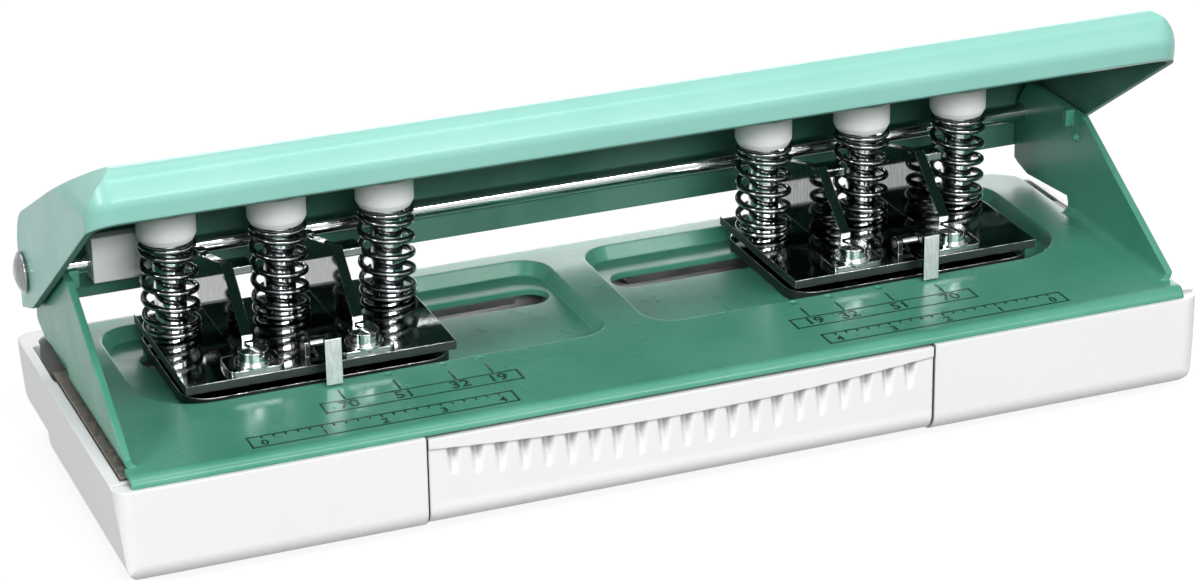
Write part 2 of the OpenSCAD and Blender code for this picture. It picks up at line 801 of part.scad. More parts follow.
module punch_cap(side, i) {
    r = cap_diameter / 2;
    color(white) in_frame() on_side(side) translate([punch_x(i), punch_y, 0]) difference() {
        intersection() {
            union() {
                translate([0, 0, cap_low]) cylinder(h = 1, r1 = r - 0.5, r2 = r);
                translate([0, 0, cap_low + 1]) cylinder(h = cap_top - cap_low, r = r);
            }
            translate([0, 0, dome_centre]) sphere(r = cap_dome);
        }
        translate([0, 0, cap_low - cut]) cylinder(h = 3 + cut, r = pin_r + seat_fit);
    }
}

// Points along a spring: straight ends one wire thick, and an even coil between them
spring_r = (spring_od - wire) / 2;
spring_rings = round(8 * spring_turns);
spring_low = guide_top + 0.02;
spring_high = cap_low - 0.02;
coil_low = spring_low + wire;
coil_rise = spring_high - spring_low - 2 * wire;
function coil_point(k) = [
    spring_r * cos(360 * spring_turns * k),
    spring_r * sin(360 * spring_turns * k),
    coil_low + coil_rise * k
];
function coil_way(k) = let (
    lead = [
        -spring_r * sin(360 * spring_turns * k) * 2 * PI * spring_turns,
        spring_r * cos(360 * spring_turns * k) * 2 * PI * spring_turns,
        coil_rise
    ]
) lead / norm(lead);
function blended(a, b) = (a + b) / norm(a + b);
spring_path = concat(
    [[coil_point(0)[0], coil_point(0)[1], spring_low]],
    [for (i = [0:spring_rings]) coil_point(i / spring_rings)],
    [[coil_point(1)[0], coil_point(1)[1], spring_high]]
);
spring_ways = concat(
    [[0, 0, 1], blended([0, 0, 1], coil_way(0))],
    [for (i = [1:spring_rings - 1]) coil_way(i / spring_rings)],
    [blended([0, 0, 1], coil_way(1)), [0, 0, 1]]
);
spring_last = len(spring_path) - 1;
least_gap = min([
    for (i = [0:spring_last], j = [i + 5:1:spring_last]) norm(spring_path[i] - spring_path[j]) - wire
]);
echo(least_spring_gap = least_gap, curls_in_all = 6 * spring_turns);

module wound_spring() {
    sides = 6;
    points = [
        for (i = [0:spring_last]) let (
            p = spring_path[i],
            out = [p[0], p[1], 0] / norm([p[0], p[1]]),
            along = spring_ways[i],
            up = cross(along, out)
        ) for (s = [0:sides - 1]) p + wire / 2 * (cos(360 * s / sides) * out + sin(360 * s / sides) * up)
    ];
    walls = [
        for (i = [0:spring_last - 1], s = [0:sides - 1]) let (
            a = i * sides + s,
            b = i * sides + (s + 1) % sides
        ) each [[a, b + sides, b], [a, a + sides, b + sides]]
    ];
    top = spring_last * sides;
    ends = [for (s = [1:sides - 2]) each [[0, s, s + 1], [top, top + s + 1, top + s]]];
    polyhedron(points = points, faces = concat(walls, ends));
}

module punch_spring(side, i) {
    color(chrome) in_frame() translate([side * punch_x(i), punch_y, 0]) wound_spring();
}

base_tray();
chip_door();
under_frame();
base_plate();
slot_rail(-1);  // slot_rail_left
slot_rail(1);  // slot_rail_right
pivot_rod();
rivet(-1);  // rivet_left
rivet(1);  // rivet_right
rod_spacer();
handle();
foot(-foot_x, foot_y[0]);  // foot_front_left
foot(foot_x, foot_y[0]);  // foot_front_right
foot(-foot_x, foot_y[1]);  // foot_back_left
foot(foot_x, foot_y[1]);  // foot_back_right
base_screw(-boss_x, boss_y[0]);  // base_screw_front_left
base_screw(boss_x, boss_y[0]);  // base_screw_front_right
base_screw(-boss_x, boss_y[1]);  // base_screw_back_left
base_screw(boss_x, boss_y[1]);  // base_screw_back_right
die_plate(-1);  // left_die_plate
guide_plate(-1);  // left_guide_plate
paper_stop(-1);  // left_paper_stop
web(-1, 1);  // left_web_inner
web(-1, -1);  // left_web_outer
web_screw(-1, 1);  // left_web_screw_inner
web_screw(-1, -1);  // left_web_screw_outer
index_lever(-1);  // left_index_lever
lever_pin(-1);  // left_lever_pin
punch_pin(-1, 1);  // left_punch_pin_1
punch_pin(-1, 2);  // left_punch_pin_2
punch_pin(-1, 3);  // left_punch_pin_3
punch_cap(-1, 1);  // left_punch_cap_1
punch_cap(-1, 2);  // left_punch_cap_2
punch_cap(-1, 3);  // left_punch_cap_3
punch_spring(-1, 1);  // left_punch_spring_1
punch_spring(-1, 2);  // left_punch_spring_2
punch_spring(-1, 3);  // left_punch_spring_3
die_plate(1);  // right_die_plate
guide_plate(1);  // right_guide_plate
paper_stop(1);  // right_paper_stop
web(1, -1);  // right_web_inner
web(1, 1);  // right_web_outer
web_screw(1, -1);  // right_web_screw_inner
web_screw(1, 1);  // right_web_screw_outer
index_lever(1);  // right_index_lever
lever_pin(1);  // right_lever_pin
punch_pin(1, 1);  // right_punch_pin_1
punch_pin(1, 2);  // right_punch_pin_2
punch_pin(1, 3);  // right_punch_pin_3
punch_cap(1, 1);  // right_punch_cap_1
punch_cap(1, 2);  // right_punch_cap_2
punch_cap(1, 3);  // right_punch_cap_3
punch_spring(1, 1);  // right_punch_spring_1
punch_spring(1, 2);  // right_punch_spring_2
punch_spring(1, 3);  // right_punch_spring_3
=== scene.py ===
# %% [markdown]
# # Dressing a six-hole punch
# The object is a desk punch for six-ring planner pages: a mint steel handle over a green plate, two bright
# carriages with three sprung punches each, and a white plastic tray that catches the chips.
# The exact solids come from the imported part. This lesson sets up the studio and gives the solids their
# finishes. Then it winds the springs, makes slotted screws and a scooped chip door, shapes the brackets and
# the handle's lip a little further, and prints a scale on the plate.

# %% Load the frame
import json
import math

import bmesh
import bpy
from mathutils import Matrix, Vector


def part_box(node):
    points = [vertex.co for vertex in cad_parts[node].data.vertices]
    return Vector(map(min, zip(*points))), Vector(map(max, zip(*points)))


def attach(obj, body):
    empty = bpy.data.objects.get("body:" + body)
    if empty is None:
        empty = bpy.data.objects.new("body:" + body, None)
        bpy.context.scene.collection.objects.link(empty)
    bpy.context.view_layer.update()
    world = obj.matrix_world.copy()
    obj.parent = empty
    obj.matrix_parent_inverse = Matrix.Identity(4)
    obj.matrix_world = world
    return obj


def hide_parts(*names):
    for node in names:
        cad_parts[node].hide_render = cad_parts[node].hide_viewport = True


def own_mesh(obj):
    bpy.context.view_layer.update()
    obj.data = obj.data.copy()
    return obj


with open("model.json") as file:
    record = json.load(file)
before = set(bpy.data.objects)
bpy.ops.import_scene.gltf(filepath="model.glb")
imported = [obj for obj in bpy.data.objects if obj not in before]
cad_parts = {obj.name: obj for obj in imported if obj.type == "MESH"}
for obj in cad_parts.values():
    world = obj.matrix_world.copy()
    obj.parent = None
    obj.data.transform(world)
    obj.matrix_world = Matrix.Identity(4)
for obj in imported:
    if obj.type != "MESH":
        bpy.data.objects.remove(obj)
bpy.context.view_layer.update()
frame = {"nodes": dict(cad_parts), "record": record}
nodes = frame["nodes"]

# %% [markdown]
# ## Units and colours
# Blender works in metres, while a maker thinks of this object in millimetres, so one value turns one into
# the other. Colours are written as they look on a screen, from 0 to 255, and a helper turns them into
# the linear light that shaders need.

# %% Helpers for units and colours
MM = 0.001
SIDES = {"left": -1, "right": 1}


def linear(red, green, blue):
    """A screen colour, 0 to 255 each, as linear light with alpha 1."""
    def channel(value):
        value = value / 255
        return value / 12.92 if value <= 0.04045 else ((value + 0.055) / 1.055) ** 2.4
    return (channel(red), channel(green), channel(blue), 1.0)


print("mint as linear light:", [round(value, 3) for value in linear(143, 217, 196)])

# %% [markdown]
# ## The camera
# The place, the angles and the lens were fitted to the photograph from the six caps, whose spacing is known,
# and from the long straight edges of the base. The frame is 1200 by 580, and the lens is given for a sensor
# 36 mm wide, so the focal length in pixels is lens / 36 * 1200.

# %% Camera
camera_data = bpy.data.cameras.new("photo_camera")
camera_data.lens = 107.935
camera_data.sensor_width = 36
camera_data.sensor_fit = "HORIZONTAL"
camera_data.clip_start = 0.05
camera = bpy.data.objects.new("photo_camera", camera_data)
camera.location = (-0.20738, -0.52297, 0.26418)
camera.rotation_euler = [math.radians(angle) for angle in (66.7264, 0.8631, -21.8016)]
bpy.context.scene.collection.objects.link(camera)
bpy.context.scene.camera = camera
print("camera distance in mm:", round(camera.location.length / MM))

# %% [markdown]
# ## Small tools for shader nodes
# A node tree is easier to read as code when making a node, mixing two colours or scaling a mask takes one
# line. Each input of a new node gets either a plain value or the output of another node.

# %% Node helpers
def feed(tree, socket, value):
    """Links an output to a socket, or writes a plain value on it."""
    if isinstance(value, bpy.types.NodeSocket):
        tree.links.new(value, socket)
    else:
        socket.default_value = value


def add_node(tree, kind, values=None, **settings):
    """A new shader node with its settings and with some of its inputs filled in."""
    node = tree.nodes.new("ShaderNode" + kind)
    for name, value in settings.items():
        setattr(node, name, value)
    for name, value in (values or {}).items():
        feed(tree, node.inputs[name], value)
    return node


def mix_colours(tree, share, first, second):
    """The first colour where the share is 0, the second where it is 1."""
    node = add_node(tree, "Mix", data_type="RGBA")
    sockets = {socket.identifier: socket for socket in node.inputs}
    feed(tree, sockets["Factor_Float"], share)
    feed(tree, sockets["A_Color"], first)
    feed(tree, sockets["B_Color"], second)
    return next(socket for socket in node.outputs if socket.identifier == "Result_Color")


def scaled(tree, value, low, high):
    """A mask from 0 to 1, stretched to run from low to high."""
    return add_node(tree, "MapRange", {"Value": value, "To Min": low, "To Max": high}).outputs["Result"]


def share_between(tree, value, low, high):
    """How far a value has come on its way from low to high, as a mask from 0 to 1."""
    return add_node(tree, "MapRange", {"Value": value, "From Min": low, "From Max": high}).outputs["Result"]


def reckoned(tree, operation, first, second):
    """The result of one Math node."""
    return add_node(tree, "Math", {0: first, 1: second}, operation=operation).outputs[0]


def place_and_facing(tree):
    """The point on the piece and the direction of its face, both split into X, Y and Z."""
    source = add_node(tree, "TexCoord").outputs
    where = add_node(tree, "SeparateXYZ", {0: source["Object"]})
    facing = add_node(tree, "SeparateXYZ", {0: source["Normal"]})
    return where.outputs, facing.outputs


def new_group(name, inputs, outputs):
    """An empty shader group with its named sockets: the group, what comes in and what goes out."""
    group = bpy.data.node_groups.new(name, "ShaderNodeTree")
    for label, kind, value in inputs:
        socket = group.interface.new_socket(label, in_out="INPUT", socket_type="NodeSocket" + kind)
        socket.default_value = value
    for label, kind in outputs:
        group.interface.new_socket(label, in_out="OUTPUT", socket_type="NodeSocket" + kind)
    return group, group.nodes.new("NodeGroupInput").outputs, group.nodes.new("NodeGroupOutput").inputs


print("helpers ready")

# %% [markdown]
# ## The studio
# Product photographs of this kind use a wide, low strip lamp in front, weaker lamps from the side, from above
# and from behind, and a white surround. The strip lamp stands only a little higher than the camera, so its
# light passes under the handle's lip and reaches the caps. The front lamp stands so high that the handle
# keeps its light off the back of the plate, and only the plate's front gets brighter. The surround is made by
# the world and the floor: rays from the camera and from mirrors see plain white, and all other rays see a
# weak sky and grey paper, so that the handle still shades what is under it.

# %% Floor, world and lamps
SKY_LIGHT = 0.08
PAPER_GREY = 0.12
PAPER_WHITE = 0.98
PAPER_GLOW = 0.88
FLOOR_REACH = 3
LAMP_AIM = Vector((0, 0, 0.03))
LAMP_DISTANCE = 1.2


def light_path_mask(tree):
    """A socket that is 1 for rays that come from the camera, from a mirror or through glass."""
    path = add_node(tree, "LightPath").outputs
    direct = reckoned(tree, "MAXIMUM", path["Is Camera Ray"], path["Is Glossy Ray"])
    return reckoned(tree, "MAXIMUM", direct, path["Is Transmission Ray"])


world = bpy.data.worlds.new("white_surround")
world.use_nodes = True
bpy.context.scene.world = world
sky = world.node_tree
background = sky.nodes["Background"]
background.inputs["Color"].default_value = (1, 1, 1, 1)
feed(sky, background.inputs["Strength"], scaled(sky, light_path_mask(sky), SKY_LIGHT, 1.0))

floor_mesh = bpy.data.meshes.new("floor")
floor_corners = [(x * FLOOR_REACH, y * FLOOR_REACH, 0) for x, y in ((-1, -1), (1, -1), (1, 1), (-1, 1))]
floor_mesh.from_pydata(floor_corners, [], [(0, 1, 2, 3)])
floor = bpy.data.objects.new("floor", floor_mesh)
bpy.context.scene.collection.objects.link(floor)
floor_paper = bpy.data.materials.new("floor_paper")
floor_paper.use_nodes = True
paper = floor_paper.node_tree
paper_surface = paper.nodes["Principled BSDF"]
paper_surface.inputs["Roughness"].default_value = 0.9
seen_straight = light_path_mask(paper)
feed(paper, paper_surface.inputs["Base Color"], scaled(paper, seen_straight, PAPER_GREY, PAPER_WHITE))
paper_mix = add_node(paper, "MixShader", {
    "Fac": reckoned(paper, "MULTIPLY", seen_straight, PAPER_GLOW),
    1: paper_surface.outputs[0], 2: add_node(paper, "Emission").outputs[0],
})
feed(paper, paper.nodes["Material Output"].inputs["Surface"], paper_mix.outputs[0])
floor_mesh.materials.append(floor_paper)


def soft_lamp(name, azimuth, elevation, width, height, power):
    """A lamp that looks at the punch: its azimuth is in degrees from the front to the left."""
    data = bpy.data.lights.new(name, "AREA")
    data.shape = "RECTANGLE"
    data.size = width
    data.size_y = height
    data.energy = power
    turn = math.radians(azimuth)
    rise = math.radians(elevation)
    away = Vector((-math.cos(rise) * math.sin(turn), -math.cos(rise) * math.cos(turn), math.sin(rise)))
    lamp = bpy.data.objects.new(name, data)
    lamp.location = LAMP_AIM + away * LAMP_DISTANCE
    lamp.rotation_euler = away.to_track_quat("Z", "Y").to_euler()
    bpy.context.scene.collection.objects.link(lamp)


soft_lamp("strip_lamp", -6, 25.7, 1.0, 0.1, 11.2)
soft_lamp("front_lamp", 0, 61, 0.7, 0.25, 6.8)
soft_lamp("side_lamp", 62, 20, 0.3, 0.3, 6.5)
soft_lamp("top_lamp", 160, 65, 0.8, 0.8, 6)
soft_lamp("back_lamp", -150, 14, 0.9, 0.5, 6.5)
bpy.context.scene.view_settings.view_transform = "Standard"

# %% [markdown]
# ## Effects that several finishes share
# Paint, plastic and metal all have some grain, edges that are worn or painted bright, and settled dust, only
# at other sizes. Each effect is a node group with named inputs, so every finish places the same group with
# its own values:
# - fine_grain is noise on Object coordinates. Stretched along one direction, it turns into polishing marks.
# - edge_wear_and_glint compares the true normal with one that a Bevel node has rounded. They differ only near
#   edges. Its mask marks worn edges, and edges that are painted bright as painted highlights.
#   It also gives that rounded normal, because real sheet metal and moulded plastic have no knife edges.
# - settled_dust lies where the surface faces up.
# - crevice_shade finds gaps, slots and inner corners by ambient occlusion, and the plastics darken them with
#   it as painted shade.

# %% Shared shader groups
fine_grain, grain_in, grain_out = new_group(
    "fine_grain", [("Scale", "Float", 900.0), ("Stretch", "Vector", (1, 1, 1))], [("Value", "Float")])
grain_place = add_node(fine_grain, "TexCoord").outputs["Object"]
grain_stretch = add_node(fine_grain, "VectorMath", {
    0: grain_place, 1: grain_in["Stretch"],
}, operation="MULTIPLY")
grain_noise = add_node(fine_grain, "TexNoise", {
    "Vector": grain_stretch.outputs[0], "Scale": grain_in["Scale"], "Detail": 3.0, "Roughness": 0.55,
})
feed(fine_grain, grain_out["Value"], share_between(fine_grain, grain_noise.outputs[0], 0.3, 0.7))

edge_wear_and_glint, edge_in, edge_out = new_group(
    "edge_wear_and_glint", [("Radius", "Float", 0.3 * MM), ("Patch Scale", "Float", 250.0)],
    [("Mask", "Float"), ("Normal", "Vector")])
edge_round = add_node(edge_wear_and_glint, "Bevel", {"Radius": edge_in["Radius"]}, samples=6).outputs[0]
edge_true = add_node(edge_wear_and_glint, "NewGeometry").outputs["Normal"]
edge_dot = add_node(edge_wear_and_glint, "VectorMath", {0: edge_round, 1: edge_true}, operation="DOT_PRODUCT")
edge_place = add_node(edge_wear_and_glint, "TexCoord").outputs["Object"]
edge_noise = add_node(edge_wear_and_glint, "TexNoise", {
    "Vector": edge_place, "Scale": edge_in["Patch Scale"], "Detail": 2.0,
})
near_edge = share_between(edge_wear_and_glint, edge_dot.outputs["Value"], 0.99, 0.80)
edge_patches = share_between(edge_wear_and_glint, edge_noise.outputs[0], 0.35, 0.6)
feed(edge_wear_and_glint, edge_out["Mask"], reckoned(edge_wear_and_glint, "MULTIPLY", near_edge, edge_patches))
feed(edge_wear_and_glint, edge_out["Normal"], edge_round)

settled_dust, dust_in, dust_out = new_group("settled_dust", [("Scale", "Float", 2200.0)], [("Mask", "Float")])
dust_true = add_node(settled_dust, "NewGeometry").outputs["Normal"]
dust_facing = add_node(settled_dust, "SeparateXYZ", {0: dust_true}).outputs
dust_place = add_node(settled_dust, "TexCoord").outputs["Object"]
dust_noise = add_node(settled_dust, "TexNoise", {
    "Vector": dust_place, "Scale": dust_in["Scale"], "Detail": 4.0, "Roughness": 0.7,
})
dust_up = share_between(settled_dust, dust_facing["Z"], 0.4, 1.0)
dust_specks = share_between(settled_dust, dust_noise.outputs[0], 0.5, 0.75)
feed(settled_dust, dust_out["Mask"], reckoned(settled_dust, "MULTIPLY", dust_up, dust_specks))

crevice_shade, crevice_in, crevice_out = new_group(
    "crevice_shade", [("Distance", "Float", 2.0 * MM)], [("Mask", "Float")])
crevice_seen = add_node(crevice_shade, "AmbientOcclusion", {"Distance": crevice_in["Distance"]}, samples=12)
feed(crevice_shade, crevice_out["Mask"], share_between(crevice_shade, crevice_seen.outputs["AO"], 0.85, 0.25))
print("shader groups:", [group.name for group in (fine_grain, edge_wear_and_glint, settled_dust, crevice_shade)])

# %% [markdown]
# ## How a finish is put together
# Every finish starts from one Principled shader. A helper places a group, another joins the rounded normal
# and a grain height in one Bump node. What is the same all over a surface is written on the shader itself.

# %% Finish helpers
def start_material(name):
    """A new material, with its node tree and its Principled shader."""
    material = bpy.data.materials.new(name)
    material.use_nodes = True
    return material, material.node_tree, material.node_tree.nodes["Principled BSDF"]


def place_group(tree, group, values=None):
    """The outputs of a placed group, with some of its inputs filled in."""
    return add_node(tree, "Group", values, node_tree=group).outputs


def bumped(tree, surface, height, normal, depth, strength):
    """Feeds the shader's normal with a rounded normal and a grain on top of it."""
    bump = add_node(tree, "Bump", {
        "Distance": depth, "Strength": strength, "Height": height, "Normal": normal,
    })
    tree.links.new(bump.outputs["Normal"], surface.inputs["Normal"])


DUST = linear(214, 212, 206)
# Painted shade: the dark grey that crevices are darkened towards.
CREVICE_SHADOW = linear(70, 69, 67)
print("dust colour:", [round(value, 2) for value in DUST])

# %% [markdown]
# ## Sprayed paint
# The handle and the plate are steel sheet with a gloss paint. A gloss coat has a slight orange peel, its tone
# changes slowly over a wide face, and it is thin and pale along folded edges; that paleness is partly a
# painted highlight of the light the folds catch. The handle is mint outside, and its inside is painted a
# deeper green as painted shade, for the handle shades its own inside. The plate's green is darker than the
# mint partly as painted shade under the handle. The inside is found from the piece itself: its faces look
# down, or at the opposite end, or forward from the back wall. The two tones meet on the edge of the sheet.

# %% Paint on the handle and the plate
LOOKS_AWAY = -0.3
BEHIND_LIP = -23.5 * MM
BACK_HALF = -10 * MM
INNER_END = -30 * MM


def inside_of_handle(tree):
    """A mask that is 1 on the faces that look into the handle."""
    where, facing = place_and_facing(tree)
    looks_down = reckoned(tree, "LESS_THAN", facing["Z"], LOOKS_AWAY)
    behind_lip = reckoned(tree, "GREATER_THAN", where["Y"], BEHIND_LIP)
    underside = reckoned(tree, "MULTIPLY", looks_down, behind_lip)
    looks_forward = reckoned(tree, "LESS_THAN", facing["Y"], LOOKS_AWAY)
    is_behind = reckoned(tree, "GREATER_THAN", where["Y"], BACK_HALF)
    inner_back = reckoned(tree, "MULTIPLY", looks_forward, is_behind)
    outward = reckoned(tree, "MULTIPLY", where["X"], facing["X"])
    inner_end = reckoned(tree, "LESS_THAN", outward, INNER_END)
    inner_wall = reckoned(tree, "MAXIMUM", inner_back, inner_end)
    return reckoned(tree, "MAXIMUM", underside, inner_wall)


def sprayed_paint(name, colour, pale, gloss, inside_shade=None):
    """Gloss paint on sheet steel; if a colour is given, the inside of the handle gets it as painted shade."""
    material, tree, surface = start_material(name)
    gloss_end = gloss + 0.08
    edges = place_group(tree, edge_wear_and_glint, {"Radius": 0.5 * MM, "Patch Scale": 120.0})
    if inside_shade:
        shaded_inside = inside_of_handle(tree)
        # Painted shade: the faces inside the handle get the darker colour.
        colour = mix_colours(tree, shaded_inside, colour, inside_shade)
        gloss = scaled(tree, shaded_inside, gloss, 0.55)
        gloss_end = scaled(tree, shaded_inside, gloss_end, 0.7)
    tone = place_group(tree, fine_grain, {"Scale": 45.0})["Value"]
    smears = place_group(tree, fine_grain, {"Scale": 130.0})["Value"]
    peel = place_group(tree, fine_grain, {"Scale": 1300.0})["Value"]
    dust = place_group(tree, settled_dust)["Mask"]
    toned = mix_colours(tree, scaled(tree, tone, 0.0, 0.22), colour, pale)
    # Partly painted highlight: folded edges turn paler, as thin paint and as the light they catch.
    edged = mix_colours(tree, scaled(tree, edges["Mask"], 0.0, 0.55), toned, pale)
    dusted = mix_colours(tree, scaled(tree, dust, 0.0, 0.03), edged, DUST)
    tree.links.new(dusted, surface.inputs["Base Color"])
    tree.links.new(scaled(tree, smears, gloss, gloss_end), surface.inputs["Roughness"])
    bumped(tree, surface, peel, edges["Normal"], 0.004 * MM, 0.15)
    surface.inputs["Specular IOR Level"].default_value = 0.25
    surface.inputs["Coat Weight"].default_value = 0.06
    surface.inputs["Coat Roughness"].default_value = 0.12
    return material


# The plate's green is darker than the handle's mint partly as painted shade under the handle.
plate_paint = sprayed_paint("plate_paint", linear(63, 134, 111), linear(130, 196, 174), 0.26)
handle_paint = sprayed_paint(
    "handle_paint", linear(131, 188, 176), linear(164, 206, 197), 0.28, inside_shade=linear(48, 106, 88))
print("paints:", handle_paint.name, plate_paint.name)

# %% [markdown]
# ## Moulded plastic and rubber
# The tray, the door and the spacer are glossy white plastic, and the caps are a duller, warmer plastic. A
# mould leaves a very fine texture and slow sink marks. Gaps, scoops and inner corners get painted shade.
# The feet are dark rubber with a coarser grain.

# %% Plastics and rubber
def moulded(name, colour, second, gloss, grain_scale, strength):
    """Injection-moulded material with a fine mould texture."""
    material, tree, surface = start_material(name)
    sink = place_group(tree, fine_grain, {"Scale": 60.0})["Value"]
    texture = place_group(tree, fine_grain, {"Scale": grain_scale})["Value"]
    edges = place_group(tree, edge_wear_and_glint, {"Radius": 0.4 * MM})
    dust = place_group(tree, settled_dust)["Mask"]
    toned = mix_colours(tree, scaled(tree, sink, 0.0, 0.5), colour, second)
    edged = mix_colours(tree, scaled(tree, edges["Mask"], 0.0, 0.3), toned, colour)
    dusted = mix_colours(tree, scaled(tree, dust, 0.0, 0.08), edged, DUST)
    # Painted shade: where ambient occlusion finds a crevice, the colour turns dark grey.
    crevices = place_group(tree, crevice_shade)["Mask"]
    shaded = mix_colours(tree, scaled(tree, crevices, 0.0, 0.75), dusted, CREVICE_SHADOW)
    tree.links.new(shaded, surface.inputs["Base Color"])
    tree.links.new(scaled(tree, texture, gloss, gloss + 0.12), surface.inputs["Roughness"])
    bumped(tree, surface, texture, edges["Normal"], 0.04 * MM, strength)
    return material


white_plastic = moulded("white_plastic", linear(224, 224, 225), linear(218, 219, 220), 0.3, 2600.0, 0.12)
cap_plastic = moulded("cap_plastic", linear(248, 246, 245), linear(240, 237, 235), 0.42, 1800.0, 0.2)
rubber = moulded("rubber", linear(40, 40, 42), linear(56, 55, 54), 0.6, 1400.0, 0.5)
print("moulded finishes:", white_plastic.name, cap_plastic.name, rubber.name)

# %% [markdown]
# ## Plated and bare steel
# The rod, the screws and the punches are bright chrome. The plates and brackets have a thin dark plating like
# a black mirror, with fine marks along their length. Every plating's edges are painted bright, as painted
# highlights. The upright faces of the plates are dull, as sheared edges are. The index levers have the dark
# plating too, but their front face is painted a pale satin as a painted highlight, and it is rougher as well.
# The rails are satin, and the spring wire is drawn steel. The under-frame is bare sheet with a rough, mottled
# mill surface.

# %% Metals
def plated(name, colour, bright, gloss, marks, edge_radius, cut=None):
    """Plated steel with polishing marks along one direction, painted highlights on its edges and, if given,
    dull cut faces.
    """
    material, tree, surface = start_material(name)
    lines = place_group(tree, fine_grain, {"Scale": 400.0, "Stretch": marks})["Value"]
    smudges = place_group(tree, fine_grain, {"Scale": 130.0})["Value"]
    edges = place_group(tree, edge_wear_and_glint, {"Radius": edge_radius, "Patch Scale": 400.0})
    lined = mix_colours(tree, scaled(tree, lines, 0.0, 0.3), colour, bright)
    matt = gloss + 0.08
    if cut:
        facing = place_and_facing(tree)[1]
        upright = reckoned(tree, "LESS_THAN", reckoned(tree, "ABSOLUTE", facing["Z"], 0.0), 0.5)
        lined = mix_colours(tree, upright, lined, cut)
        gloss = scaled(tree, upright, gloss, 0.4)
        matt = scaled(tree, upright, matt, 0.5)
    # Painted highlight: the edges turn bright.
    edged = mix_colours(tree, edges["Mask"], lined, bright)
    tree.links.new(edged, surface.inputs["Base Color"])
    tree.links.new(scaled(tree, smudges, gloss, matt), surface.inputs["Roughness"])
    bumped(tree, surface, lines, edges["Normal"], 0.01 * MM, 0.1)
    surface.inputs["Metallic"].default_value = 1.0
    return material


BRIGHT = linear(238, 239, 240)
DARK_PLATING = linear(104, 110, 107)
SHEARED = linear(72, 80, 75)
chrome = plated("chrome", linear(208, 210, 212), BRIGHT, 0.06, (1, 12, 12), 0.2 * MM)
plate_chrome = plated("plate_chrome", DARK_PLATING, BRIGHT, 0.03, (1, 14, 14), 0.2 * MM, cut=SHEARED)
bracket_plating = plated("bracket_plating", DARK_PLATING, BRIGHT, 0.04, (14, 14, 1), 0.3 * MM)
satin_plating = plated("satin_plating", linear(222, 223, 222), BRIGHT, 0.28, (1, 12, 12), 0.2 * MM)
spring_steel = plated("spring_steel", linear(112, 115, 118), BRIGHT, 0.04, (3, 3, 16), 0.1 * MM)


def thumbed(name):
    """Dark plating with a rougher front face that is painted pale there as a painted highlight."""
    material, tree, surface = start_material(name)
    facing = place_and_facing(tree)[1]
    faces_front = reckoned(tree, "LESS_THAN", facing["Y"], -0.5)
    streaks = place_group(tree, fine_grain, {"Scale": 500.0, "Stretch": (6, 6, 1)})["Value"]
    edges = place_group(tree, edge_wear_and_glint, {"Radius": 0.2 * MM, "Patch Scale": 400.0})
    pale = mix_colours(tree, streaks, linear(206, 207, 206), BRIGHT)
    # Painted highlight: the faces that look forward turn pale.
    toned = mix_colours(tree, faces_front, DARK_PLATING, pale)
    edged = mix_colours(tree, edges["Mask"], toned, BRIGHT)
    tree.links.new(edged, surface.inputs["Base Color"])
    tree.links.new(scaled(tree, faces_front, 0.05, 0.42), surface.inputs["Roughness"])
    bumped(tree, surface, streaks, edges["Normal"], 0.01 * MM, 0.2)
    surface.inputs["Metallic"].default_value = 1.0
    return material


front_glint_plating = thumbed("front_glint_plating")


def mill_steel(name):
    """Bare sheet steel with a mottled rough surface."""
    material, tree, surface = start_material(name)
    mottle = place_group(tree, fine_grain, {"Scale": 900.0})["Value"]
    stain = place_group(tree, fine_grain, {"Scale": 120.0})["Value"]
    edges = place_group(tree, edge_wear_and_glint, {"Radius": 0.15 * MM})
    toned = mix_colours(tree, mottle, linear(92, 88, 82), linear(136, 131, 124))
    stained = mix_colours(tree, scaled(tree, stain, 0.0, 0.4), toned, linear(104, 94, 82))
    edged = mix_colours(tree, edges["Mask"], stained, linear(190, 188, 184))
    tree.links.new(edged, surface.inputs["Base Color"])
    tree.links.new(scaled(tree, mottle, 0.42, 0.7), surface.inputs["Roughness"])
    bumped(tree, surface, mottle, edges["Normal"], 0.05 * MM, 0.4)
    surface.inputs["Metallic"].default_value = 0.7
    return material


bare_steel = mill_steel("bare_steel")
platings = (chrome, plate_chrome, bracket_plating, satin_plating, front_glint_plating)
print("metals:", [metal.name for metal in platings], spring_steel.name, bare_steel.name)

# %% [markdown]
# ## Finishes on the solids
# The record names a material slot for every solid, so the finishes go on by slot. Chrome is only the common
# name of several platings, so some pieces then get their own one by name.

# %% Finishes on the solids
FINISHES = {
    "white_plastic": white_plastic, "cap_plastic": cap_plastic, "handle_paint": handle_paint,
    "plate_paint": plate_paint, "bare_steel": bare_steel, "chrome": chrome, "spring_steel": spring_steel,
    "rubber": rubber,
}
OTHER_PLATING = {
    "die_plate": plate_chrome, "guide_plate": plate_chrome, "paper_stop": plate_chrome,
    "rivet": bracket_plating, "web_inner": bracket_plating, "web_outer": bracket_plating,
    "index_lever": front_glint_plating, "slot_rail": satin_plating,
}

for part in frame["record"]["subparts"]:
    finish = FINISHES[part["material_slot"]]
    for piece, plating in OTHER_PLATING.items():
        if piece in part["node"]:
            finish = plating
    slots = nodes[part["node"]].data.materials
    slots.clear()
    slots.append(finish)

# %% [markdown]
# ## Small tools for geometry nodes
# A geometry tree is a recipe with named inputs. It runs on an empty carrier object, the result is kept as a
# plain mesh, and the carrier goes away. Inputs are set by their identifier before the first evaluation.

